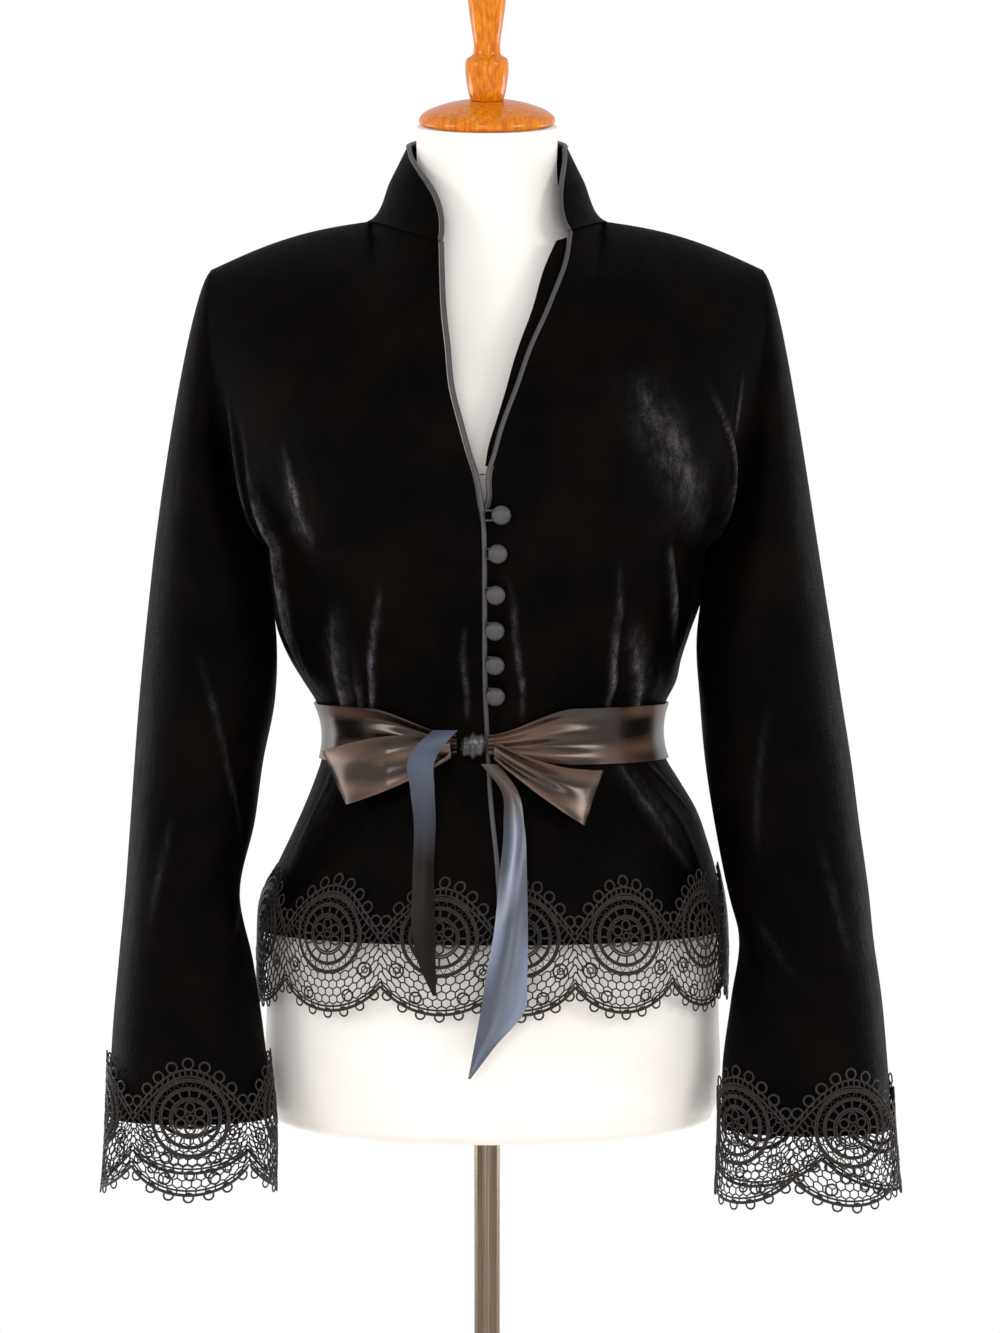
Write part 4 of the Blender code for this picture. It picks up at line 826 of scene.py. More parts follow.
EDGE_ROWS = table(
    EdgeRow,
    (0.84, 0.009, 0.003),
    (0.92, 0.0073, 0.0013),
    (0.964, 0.0052, -0.001),
    (1.012, 0.0003, -0.0058),
    (1.05, -0.0018, -0.008),
    (1.081, -0.0032, -0.0094),
    (1.16, -0.0037, -0.01),
    (1.19, -0.0039, -0.0096),
    (1.205, -0.0046, -0.004),
    (1.216, -0.006, 0.0026),
    (1.238, -0.0099, 0.004),
    (1.248, -0.0133, 0.0072),
    (1.268, -0.0189, 0.0128),
    (1.296, -0.026, 0.023),
    (1.328, -0.0292, 0.0338),
    (1.36, -0.0325, 0.048),
    (1.38, -0.0335, 0.0578),
    (1.404, -0.0343, 0.062),
)
RIGHT_CREASES = table(
    Crease,
    (-0.52, 1.076, -0.34, 1.185, 0.0, 0.055, 0.0034, 0.25, 0.0),
    (-0.73, 1.076, -0.52, 1.165, 0.0, 0.06, 0.0036, 0.3, 0.0),
    (-0.84, 1.08, -0.76, 1.29, 0.0, 0.052, 0.0036, 0.4, 0.0),
    (-0.7, 0.93, -0.66, 1.034, 0.0, 0.06, 0.0036, 0.6, 0.0),
    (-0.36, 0.94, -0.46, 1.034, 0.0, 0.055, 0.0026, 0.7, 0.0),
    (-0.49, 1.06, -0.3, 1.178, 0.05, 0.018, 0.0018, 0.22, 0.7),
    (-0.53, 1.06, -0.4, 1.116, 0.0, 0.018, 0.0013, 0.35, 0.6),
    (-0.65, 1.06, -0.45, 1.156, 0.05, 0.026, 0.0018, 0.25, 0.6),
    (-0.78, 1.062, -0.83, 1.292, 0.045, 0.022, 0.0021, 0.4, 0.8),
    (-0.95, 1.13, -0.905, 1.31, 0.04, 0.016, 0.0015, 0.5, 0.6),
    (-0.51, 1.188, -0.615, 1.264, 0.012, 0.022, 0.0017, 0.5, 0.7),
    (-0.09, 1.062, -0.05, 1.142, 0.0, 0.016, 0.0009, 0.3, 0.6),
    (-0.76, 0.95, -0.7, 1.048, 0.02, 0.022, 0.0009, 0.65, 0.7),
    (-0.24, 0.955, -0.22, 1.048, 0.0, 0.022, 0.0008, 0.7, 0.6),
)
LEFT_CREASES = table(
    Crease,
    (0.46, 1.076, 0.38, 1.18, 0.0, 0.055, 0.0036, 0.25, 0.0),
    (0.64, 1.076, 0.5, 1.15, 0.0, 0.055, 0.0034, 0.3, 0.0),
    (0.8, 1.08, 0.62, 1.2, 0.0, 0.055, 0.0038, 0.45, 0.0),
    (0.84, 1.14, 0.8, 1.31, 0.0, 0.05, 0.0034, 0.5, 0.0),
    (0.74, 0.93, 0.54, 1.034, 0.0, 0.06, 0.0038, 0.6, 0.0),
    (0.11, 1.06, 0.045, 1.178, 0.02, 0.016, 0.0011, 0.3, 0.6),
    (0.44, 1.06, 0.365, 1.186, 0.0, 0.017, 0.0018, 0.3, 0.7),
    (0.61, 1.06, 0.44, 1.138, 0.0, 0.026, 0.0016, 0.3, 0.6),
    (0.72, 1.112, 0.55, 1.202, -0.037, 0.022, 0.0018, 0.5, 0.7),
    (0.97, 1.14, 0.655, 1.31, 0.08, 0.018, 0.0019, 0.55, 0.8),
    (0.83, 1.262, 0.87, 1.312, 0.0, 0.014, 0.001, 0.5, 0.5),
    (0.68, 0.948, 0.48, 1.048, -0.05, 0.022, 0.0009, 0.65, 0.7),
    (0.83, 0.985, 0.63, 1.044, 0.0, 0.018, 0.0007, 0.65, 0.6),
    (0.06, 0.945, 0.03, 1.044, 0.0, 0.018, 0.001, 0.7, 0.6),
)
BACK_CREASES = table(
    Crease,
    (-0.62, 1.076, -0.52, 1.19, 0.0, 0.05, 0.0034, 0.3, 0.0),
    (-0.3, 1.076, -0.24, 1.17, 0.0, 0.05, 0.003, 0.3, 0.0),
    (0.34, 1.076, 0.28, 1.18, 0.0, 0.05, 0.0032, 0.3, 0.0),
    (0.66, 1.076, 0.55, 1.165, 0.0, 0.05, 0.0034, 0.3, 0.0),
    (-0.44, 0.93, -0.4, 1.034, 0.0, 0.055, 0.0034, 0.6, 0.0),
    (0.48, 0.93, 0.42, 1.034, 0.0, 0.055, 0.0034, 0.6, 0.0),
    (-0.46, 1.07, -0.4, 1.15, 0.01, 0.02, 0.0016, 0.25, 0.6),
    (-0.1, 1.072, -0.08, 1.135, 0.0, 0.02, 0.0014, 0.3, 0.6),
    (0.16, 1.07, 0.13, 1.16, -0.01, 0.02, 0.0015, 0.3, 0.6),
    (0.52, 1.072, 0.46, 1.14, 0.0, 0.022, 0.0016, 0.25, 0.6),
    (-0.82, 1.14, -0.78, 1.29, -0.03, 0.022, 0.0017, 0.5, 0.7),
    (0.84, 1.13, 0.78, 1.28, 0.03, 0.022, 0.0017, 0.5, 0.7),
    (-0.16, 0.96, -0.13, 1.03, 0.0, 0.024, 0.0014, 0.7, 0.6),
    (0.2, 0.97, 0.18, 1.028, 0.0, 0.022, 0.0013, 0.7, 0.6),
)


# Patches of painted sheen on the fronts, with the columns of a crease; their stand is the share of the sheen
# colour.
RIGHT_SHEEN_PATCHES = table(
    Crease,
    (-0.8, 1.06, -0.8, 1.27, 0.045, 0.05, 0.26, 0.35, 0.0),
    (-0.53, 1.175, -0.6, 1.25, 0.012, 0.032, 0.22, 0.45, 0.0),
    (-0.63, 1.06, -0.45, 1.16, 0.05, 0.04, 0.13, 0.3, 0.0),
    (-0.72, 0.95, -0.68, 1.048, 0.02, 0.06, 0.06, 0.65, 0.0),
)
LEFT_SHEEN_PATCHES = table(
    Crease,
    (0.74, 1.18, 0.42, 1.32, -0.04, 0.075, 0.2, 0.45, 0.0),
    (0.62, 1.22, 0.5, 1.285, 0.0, 0.03, 0.24, 0.5, 0.0),
    (0.5, 1.25, 0.44, 1.31, 0.0, 0.022, 0.18, 0.5, 0.0),
    (0.61, 1.06, 0.44, 1.15, 0.0, 0.04, 0.14, 0.35, 0.0),
    (0.88, 1.15, 0.8, 1.26, 0.03, 0.05, 0.1, 0.5, 0.0),
    (0.7, 0.95, 0.5, 1.048, -0.05, 0.055, 0.06, 0.65, 0.0),
)
# Painted sheen along sharp creases: the crease stand that gives the full sheen colour, and the streak's width
# as a share of the crease's.
SHEEN_STREAK_STAND = 0.0034
SHEEN_STREAK_WIDTH = 0.48
TROUGH_PLACE = 1.7


def painted_sheen_share(creases: Sequence[Crease], patches: Sequence[Crease], across: Array, height: Array) -> Array:
    """Share of painted sheen: a streak along the top of each sharp crease, and soft patches of it.

    Args:
        creases: the cloth's creases; those with a trough are the sharp ones.
        patches: patches of painted sheen, whose stand is a share.
        across, height: where to read them.
    Returns:
        Share from 0 to 1, by place.
    """
    streaks = tuple(
        row._replace(stand=row.stand / SHEEN_STREAK_STAND, width=SHEEN_STREAK_WIDTH * row.width, trough=0.0)
        for row in creases if row.trough > 0
    )
    return np.clip(crease_stand(streaks + tuple(patches), across, height), 0.0, 1.0)


def crease_stand(creases: Sequence[Crease], across: Array, height: Array) -> Array:
    """How far creases stand out: a soft ridge along each, with a trough beside it, fading to both ends.

    Args:
        creases: the creases.
        across, height: where to read them.
    Returns:
        Stand in metres, by place.
    """
    stand = np.zeros(np.broadcast(across, height).shape)
    for crease in creases:
        along = (height - crease.height_low) / (crease.height_high - crease.height_low)
        share = np.clip(along, 0, 1)
        centre = crease.across_low + (crease.across_high - crease.across_low) * share
        centre = centre + 4 * crease.bend * share * (1 - share)
        before = np.sin(0.5 * math.pi * np.clip(along / crease.peak, 0, 1)) ** 2
        after = np.cos(0.5 * math.pi * np.clip((along - crease.peak) / (1 - crease.peak), 0, 1)) ** 2
        off = (across - centre) / crease.width
        ridge = np.exp(-off ** 2) - crease.trough * np.exp(-(np.abs(off) - TROUGH_PLACE) ** 2)
        stand = stand + crease.stand * ridge * before * after
    return stand


@dataclass(frozen=True)
class JacketBody:
    """Outer surface of the jacket body, by a share across (-1 to 1) and a level.

    Rows are half ellipses that flatten towards the armhole; the yoke is a cubic over to the shoulder seam.
    A level is metres below the armpit as a negative, or a share of the rise to the shoulder above it.
    """

    hem_height: float = 0.912
    waist_height: float = 1.055
    armpit_height: float = 1.188
    shoulder_height: float = 1.386
    front_edge_top: float = 1.404
    neck_front_height: float = 1.392
    neck_side_height: float = 1.421
    neck_back_height: float = 1.410
    side_seam_depth: float = 0.010
    armpit_half_width: float = 0.158
    shoulder_half_width: float = 0.199
    armhole_front_reach: float = 0.052
    armhole_back_reach: float = 0.056
    neck_half_width: float = 0.083
    neck_centre_depth: float = 0.006
    neck_front_reach: float = 0.080
    neck_back_reach: float = 0.068
    neck_share: float = 0.31
    shoulder_crown: float = 0.006
    yoke_rise: float = 0.72
    squareness: float = 0.035
    slope_step: float = 0.02
    normal_step: float = 0.004
    yoke_blend_start: float = 0.12
    yoke_blend: float = 0.30
    yoke_over: float = 1.2
    yoke_neck: float = 0.9
    seam_blend_start: float = 0.02
    seam_blend: float = 0.05
    seam_level: float = 0.9
    halvings: int = 26
    bust_across: float = 0.42
    bust_spread: float = 0.24
    bust_height: float = 1.200
    bust_length: float = 0.060
    bust_fullness: float = 0.006
    tuck_depth: float = 0.0042
    tuck_hold: float = 0.0050
    tuck_fade: float = 0.0150
    tuck_top: float = 1.238
    tuck_rise: float = 0.026

    def level_of(self, height: Array) -> Array:
        """Level for a height near the front edge."""
        rise = np.asarray(height, dtype=float) - self.armpit_height
        return np.where(rise < 0, rise, rise / (self.front_edge_top - self.armpit_height))

    def height_of(self, level: Array) -> Array:
        """Height near the front edge for a level."""
        rise = self.front_edge_top - self.armpit_height
        return self.armpit_height + np.where(level < 0, level, level * rise)

    def armhole(self, rise: Array, face: Face) -> tuple[Array, Array, Array]:
        """Width, depth and height of the armhole seam from the armpit (0) to the shoulder tip (1).

        Args:
            rise: share of the way up.
            face: front or back.
        Returns:
            Width from the middle, depth and height.
        """
        turn = math.pi * (1 - rise)
        middle = 0.5 * (self.shoulder_height + self.armpit_height)
        reach = self.armhole_front_reach if face is Face.FRONT else self.armhole_back_reach
        spread = np.sqrt(1 - (0.5 * (1 - np.cos(turn))) ** 2)
        width = self.armpit_half_width + (self.shoulder_half_width - self.armpit_half_width) * spread
        depth = self.side_seam_depth + face.value * reach * np.sin(turn)
        return width, depth, middle + (self.shoulder_height - middle) * np.cos(turn)

    def row(self, across: Array, level: Array, face: Face) -> Array:
        """Point of a row below the yoke.

        Args:
            across, level, face: place on the body.
        Returns:
            Points in metres.
        """
        below = level < 0
        rise = np.clip(level, 0, self.yoke_rise)
        upper = UPPER_FRONT if face is Face.FRONT else UPPER_BACK
        low_height = self.armpit_height + np.minimum(level, 0)
        hole_width, hole_depth, hole_height = self.armhole(rise, face)
        low_width, low_front, low_back, low_lean = follow_each(
            TORSO_ROWS, "height", low_height, *TorsoRow._fields[1:]
        )
        high_height, high_depth, high_round = follow_each(upper, "rise", rise, *UpperRow._fields[1:])
        half_width = np.where(below, low_width, hole_width)
        side_depth = np.where(below, self.side_seam_depth, hole_depth)
        side_height = np.where(below, low_height, hole_height)
        depth = face.value * np.where(below, low_front if face is Face.FRONT else low_back, high_depth)
        height = np.where(below, low_height, high_height)
        round_share = np.where(below, 1.0, high_round)
        lean = np.where(below, low_lean, 0.0)
        angle = across * math.pi / 2
        swell = 1 + self.squareness * round_share * np.sin(2 * angle) ** 2
        x = half_width * (round_share * np.sin(angle) + (1 - round_share) * across) * swell
        bend = round_share * (1 - np.cos(angle)) + (1 - round_share) * across ** 2
        y = self.side_seam_depth + (depth + (side_depth - depth) * bend - self.side_seam_depth) * swell
        z = height + (side_height - height) * across ** 2
        return stacked(lean + x, y, z)

    def top(self, across: Array, face: Face) -> Array:
        """Neck seam from the middle to the neck point, then the shoulder seam out to its tip.

        Args:
            across: share from the middle to the shoulder tip.
            face: front or back.
        Returns:
            Points in metres.
        """
        size = np.abs(across)
        turn = np.minimum(size / self.neck_share, 1) * math.pi / 2
        reach = self.neck_front_reach if face is Face.FRONT else self.neck_back_reach
        middle_height = self.neck_front_height if face is Face.FRONT else self.neck_back_height
        out = np.clip((size - self.neck_share) / (1 - self.neck_share), 0, None)
        x = self.neck_half_width * np.sin(turn) + (self.shoulder_half_width - self.neck_half_width) * out
        y = self.neck_centre_depth + face.value * reach * np.cos(turn)
        y = y + (self.side_seam_depth - self.neck_centre_depth) * out
        z = middle_height + (self.neck_side_height - middle_height) * np.sin(turn)
        z = z + (self.shoulder_height - self.neck_side_height) * out
        z = z + self.shoulder_crown * np.sin(math.pi * np.clip(out, 0, 1))
        return stacked(np.sign(across) * x, y, z)

    def point(self, across: Array, level: Array, face: Face) -> Array:
        """Outer surface without creases.

        Args:
            across, level, face: place on the body.
        Returns:
            Points in metres.
        """
        across, level = np.broadcast_arrays(np.asarray(across, dtype=float), np.asarray(level, dtype=float))
        row = self.row(across, level, face)
        yoke = self.row(across, np.full_like(across, self.yoke_rise), face)
        before = self.row(across, np.full_like(across, self.yoke_rise - self.slope_step), face)
        start_slope = (yoke - before) / self.slope_step * (1 - self.yoke_rise)
        top = self.top(across, face)
        past_neck = np.abs(across) - self.neck_share
        on_shoulder = ease((past_neck + self.yoke_blend_start) / self.yoke_blend)[..., None]
        over = np.zeros_like(top)
        over[..., 1] = self.yoke_over * (top[..., 1] - yoke[..., 1])
        end_slope = on_shoulder * over + (1 - on_shoulder) * self.yoke_neck * (top - yoke)
        share = np.clip((level - self.yoke_rise) / (1 - self.yoke_rise), 0, None)[..., None]
        return np.where(share > 0, hermite(yoke, start_slope, top, end_slope, share), row)

    def normal(self, across: Array, level: Array, face: Face) -> Array:
        """Outward direction; along the shoulder seam it turns upright.

        Args:
            across, level, face: place on the body.
        Returns:
            Directions of length one.
        """
        step = self.normal_step
        along = self.point(across + step, level, face) - self.point(across - step, level, face)
        up = self.point(across, np.minimum(level + step, 1.0), face) - self.point(across, level - step, face)
        normal = unit(-face.value * np.cross(along, up))
        direction = unit(along)
        seam = np.zeros_like(normal)
        seam[..., 2] = 1.0
        seam = unit(seam - direction * np.sum(direction * seam, axis=-1, keepdims=True))
        on_shoulder = ease((np.abs(across) - self.neck_share + self.seam_blend_start) / self.seam_blend)
        share = (on_shoulder * ease((level - self.seam_level) / (1 - self.seam_level)))[..., None]
        return unit(normal * (1 - share) + seam * share)

    def across_at(self, x: Array, height: Array) -> Array:
        """Share across the front where the surface has a given x, found by halving.

        Args:
            x: sideways place.
            height: height near the front edge.
        Returns:
            Shares from -1 to 1.
        """
        x, height = np.broadcast_arrays(np.asarray(x, dtype=float), np.asarray(height, dtype=float))
        level = self.level_of(height)
        low = np.full(x.shape, -1.0)
        high = np.full(x.shape, 1.0)
        for _ in range(self.halvings):
            middle = 0.5 * (low + high)
            left = self.point(middle, level, Face.FRONT)[..., 0] < x
            low = np.where(left, middle, low)
            high = np.where(left, high, middle)
        return 0.5 * (low + high)

    def bust(self, across: Array, height: Array) -> Array:
        """Fullness of the fronts over the bust."""
        off = (np.abs(across) - self.bust_across) / self.bust_spread
        return self.bust_fullness * np.exp(-off ** 2 - ((height - self.bust_height) / self.bust_length) ** 2)

    def tuck(self, x: Array, height: Array) -> Array:
        """Step inwards of the left front where it passes under the right front's edge.

        Args:
            x, height: place seen from the front.
        Returns:
            The step in metres, negative inwards.
        """
        beyond = x - follow(EDGE_ROWS, "height", "right_front", height)
        fade = 1 - ease((beyond - self.tuck_hold) / self.tuck_fade)
        return -self.tuck_depth * fade * ease((self.tuck_top - height) / self.tuck_rise)

    def before_front(
        self, x: Array, height: Array, lift: Array, lean_start: float, lean_slope: float
    ) -> Array:
        """Point in front of the jacket; far from the middle it leans back on a straight line.

        Args:
            x, height: place seen from the front.
            lift: how far before the cloth.
            lean_start: sideways place beyond which it leans.
            lean_slope: how steeply it leans.
        Returns:
            Points in metres.
        """
        near = np.clip(x, -lean_start, lean_start)
        across = self.across_at(near, height)
        depth = self.point(across, self.level_of(height), Face.FRONT)[..., 1]
        return stacked(x, depth + lean_slope * np.abs(x - near) - lift, height)


@dataclass(frozen=True)
class Panels:
    """The fronts, the left front's facing and the back, as thin shells of velvet."""

    body: JacketBody
    thickness: float = 0.0018
    seam: float = 0.0004
    side_limit: float = 0.999
    rows_below: int = 150
    rows_above: int = 66
    front_columns: int = 122
    back_columns: int = 112
    crowding: float = 1.35
    facing_lap: float = 0.0100
    facing_set_back: float = 0.0034
    facing_thickness: float = 0.0012
    facing_rows: int = 60
    facing_columns: int = 13

    def levels(self) -> Array:
        """Levels of all rows, hem to shoulder."""
        low = np.linspace(self.body.hem_height - self.body.armpit_height, 0, self.rows_below + 1)
        return np.concatenate([low[:-1], np.linspace(0, 1, self.rows_above + 1)])

    def front(self, side: Side) -> tuple[Array, Array, Array, Array]:
        """One front: rows from its edge to the side seam, with its creases, bust fullness and tuck.

        Args:
            side: which front.
        Returns:
            Outer grid, inner grid, outward directions and how far the pile is parted.
        """
        rows = self.levels()
        left = side is Side.LEFT
        heights = self.body.height_of(rows)
        line = follow(EDGE_ROWS, "height", "left_front" if left else "right_front", heights)
        edge = self.body.across_at(line, heights)
        share = np.linspace(0, 1, self.front_columns + 1) ** self.crowding
        across = edge[:, None] + (side.value * self.side_limit - edge[:, None]) * share[None, :]
        level = np.broadcast_to(rows[:, None], across.shape)
        points = self.body.point(across, level, Face.FRONT)
        normals = self.body.normal(across, level, Face.FRONT)
        height = points[..., 2]
        creases = LEFT_CREASES if left else RIGHT_CREASES
        # Painted sheen along the sharp creases and in the patches.
        parted = painted_sheen_share(creases, LEFT_SHEEN_PATCHES if left else RIGHT_SHEEN_PATCHES, across, height)
        stand = crease_stand(creases, across, height) + self.body.bust(across, height)
        if left:
            stand = stand + self.body.tuck(points[..., 0], height)
        outer = points + normals * stand[..., None]
        outer[-1, :, 1] -= self.seam
        return outer, outer - normals * self.thickness, normals, parted

    def back(self) -> tuple[Array, Array, Array]:
        """The back: rows from side seam to side seam, with its creases.

        Returns:
            Outer grid, inner grid and how far the pile is parted.
        """
        line = np.linspace(-self.side_limit, self.side_limit, self.back_columns + 1)
        across, level = np.meshgrid(line, self.levels())
        points = self.body.point(across, level, Face.BACK)
        normals = self.body.normal(across, level, Face.BACK)
        outer = points + normals * crease_stand(BACK_CREASES, across, points[..., 2])[..., None]
        outer[-1, :, 1] += self.seam
        # Painted sheen along the back's sharp creases.
        return outer, outer - normals * self.thickness, painted_sheen_share(BACK_CREASES, (), across, points[..., 2])

    def facing(self) -> tuple[Array, Array]:
        """Facing of the left front: a strip just inside the V, set back behind the piping.

        Returns:
            Outer and inner grid.
        """
        height = np.linspace(FACING_ROWS[0].height, FACING_ROWS[-1].height, self.facing_rows)
        start = follow(FACING_ROWS, "height", "edge", height)
        stop = follow(EDGE_ROWS, "height", "left_front", height) + self.facing_lap
        share = np.linspace(0, 1, self.facing_columns)
        x = start[:, None] + (stop - start)[:, None] * share[None, :]
        tall = np.broadcast_to(height[:, None], x.shape)
        across = self.body.across_at(x, tall)
        level = self.body.level_of(tall)
        normals = self.body.normal(across, level, Face.FRONT)
        stand = self.body.bust(across, tall) - self.facing_set_back
        outer = self.body.point(across, level, Face.FRONT) + normals * stand[..., None]
        return outer, outer - normals * self.facing_thickness

    def build(self, wardrobe: Wardrobe, piping: "Piping") -> None:
        """Make and dress the panels, and the piping of both front edges.

        Args:
            wardrobe: the finishes.
            piping: maker of piping.
        """
        keep = self.levels() <= piping.front_top
        for side in Side:
            name = side.name.lower()
            outer, inner, normals, parted = self.front(side)
            wardrobe.sheet("cloth_", "front_" + name, "velvet", "draped", outer, inner, parted=parted)
            path = outer[keep, 0]
            facing_out = normals[keep, 0]
            if side is Side.LEFT:
                path = path[::-1]
                facing_out = facing_out[::-1]
            piping.build(wardrobe, "cord_" + name, "piping_" + name, path, facing_out)
        wardrobe.sheet("cloth_", "facing_left", "velvet", "laid", *self.facing())
        outer, inner, parted = self.back()
        wardrobe.sheet("cloth_", "back", "velvet", "draped", outer, inner, parted=parted)


class FacingRow(NamedTuple):
    """Inner edge of the left front's facing by height."""

    height: float
    edge: float


FACING_ROWS = table(
    FacingRow,
    (1.243, -0.0008),
    (1.2545, 0.001),
    (1.2754, 0.0073),
    (1.2963, 0.0135),
    (1.3175, 0.0191),
    (1.339, 0.026),
    (1.36, 0.0337),
    (1.382, 0.042),
    (1.398, 0.051),
)


@dataclass(frozen=True)
class Piping:
    """Satin piping: a round cord of bias satin just outside an edge."""

    radius: float = 0.0018
    gap: float = 0.0006
    cloth: float = 0.0018
    sides: int = 12
    front_top: float = 0.985

    def build(self, wardrobe: Wardrobe, name: str, node: str, path: Array, normals: Array) -> None:
        """Make and dress the piping; the cloth lies to the left of the path seen from outside.

        Args:
            wardrobe: the finishes.
            name: the piece's name.
            node: the node it stands for.
            path: the cloth's edge.
            normals: outward directions along it.
        """
        along = unit(np.gradient(path, axis=0))
        outwards = unit(np.cross(along, normals))
        centre = path + outwards * (self.radius + self.gap) - normals * self.cloth / 2
        rings = tube_rings(centre, outwards, np.full(len(path), self.radius), self.sides)
        wardrobe.dress(add_rings(name, rings), "charcoal_satin", [node])


# Sleeves


class SleeveRow(NamedTuple):
    """Section of a hanging sleeve: nearest and farthest from the middle, how far forward, half depth."""

    height: float
    inner: float
    outer: float
    forward: float
    half_depth: float


RIGHT_SLEEVE_ROWS = table(
    SleeveRow,
    (0.71, 0.152, 0.2712, 0.072, 0.047),
    (0.7815, 0.1515, 0.2668, 0.066, 0.047),
    (0.8381, 0.1575, 0.2655, 0.058, 0.048),
    (0.8935, 0.1662, 0.2615, 0.048, 0.048),
    (0.9389, 0.176, 0.2577, 0.04, 0.048),
    (0.9917, 0.1656, 0.2543, 0.032, 0.05),
    (1.0341, 0.1599, 0.2517, 0.026, 0.052),
    (1.0768, 0.1517, 0.2486, 0.023, 0.055),
    (1.1198, 0.1507, 0.2451, 0.015, 0.058),
    (1.1651, 0.1564, 0.2409, 0.006, 0.061),
)
LEFT_SLEEVE_ROWS = table(
    SleeveRow,
    (0.701, 0.163, 0.293, 0.07, 0.047),
    (0.773, 0.166, 0.287, 0.063, 0.047),
    (0.8235, 0.1675, 0.284, 0.056, 0.047),
    (0.8651, 0.1735, 0.2808, 0.049, 0.047),
    (0.914, 0.179, 0.2745, 0.042, 0.047),
    (0.935, 0.1735, 0.2727, 0.039, 0.047),
    (0.9914, 0.1623, 0.2655, 0.031, 0.049),
    (1.034, 0.156, 0.2603, 0.026, 0.051),
    (1.0767, 0.1523, 0.2537, 0.023, 0.054),
    (1.1197, 0.1502, 0.2477, 0.015, 0.057),
    (1.1651, 0.1561, 0.2411, 0.006, 0.06),
)
RIGHT_SLEEVE_CREASES = table(
    Crease,
    (2.55, 0.93, 1.15, 1.14, 0.0, 0.32, 0.0038, 0.55, 0.0),
    (2.1, 0.85, 2.75, 0.96, 0.0, 0.3, 0.0036, 0.6, 0.0),
    (4.6, 0.93, 5.2, 1.14, 0.0, 0.32, 0.0034, 0.5, 0.0),
    (3.14, 1.138, 3.14, 1.202, 0.0, 0.5, 0.0036, 0.6, 0.0),
    (2.8, 0.96, 1.4, 1.125, -0.1, 0.08, 0.0005, 0.5, 0.6),
    (2.35, 0.905, 3.15, 0.945, 0.0, 0.09, 0.0005, 0.5, 0.6),
    (1.0, 0.9, 1.3, 1.01, 0.05, 0.12, 0.0003, 0.5, 0.5),
    (4.3, 0.9, 4.9, 1.08, -0.1, 0.12, 0.0017, 0.5, 0.6),
    (5.6, 0.94, 5.3, 1.06, 0.05, 0.12, 0.0014, 0.5, 0.6),
)
LEFT_SLEEVE_CREASES = table(
    Crease,
    (2.45, 0.93, 1.4, 1.12, 0.0, 0.32, 0.0032, 0.5, 0.0),
    (1.9, 0.84, 2.7, 0.94, 0.0, 0.3, 0.0036, 0.6, 0.0),
    (4.4, 0.93, 5.1, 1.13, 0.0, 0.32, 0.0034, 0.5, 0.0),
    (3.14, 1.138, 3.14, 1.202, 0.0, 0.5, 0.0036, 0.6, 0.0),
    (2.15, 0.955, 1.6, 1.09, 0.05, 0.09, 0.0002, 0.5, 0.6),
    (1.7, 0.88, 2.45, 0.935, 0.06, 0.1, 0.0002, 0.5, 0.6),
    (0.9, 0.88, 1.2, 0.99, 0.05, 0.12, 0.0003, 0.5, 0.5),
    (4.2, 0.89, 4.8, 1.07, -0.1, 0.12, 0.0016, 0.5, 0.6),
)


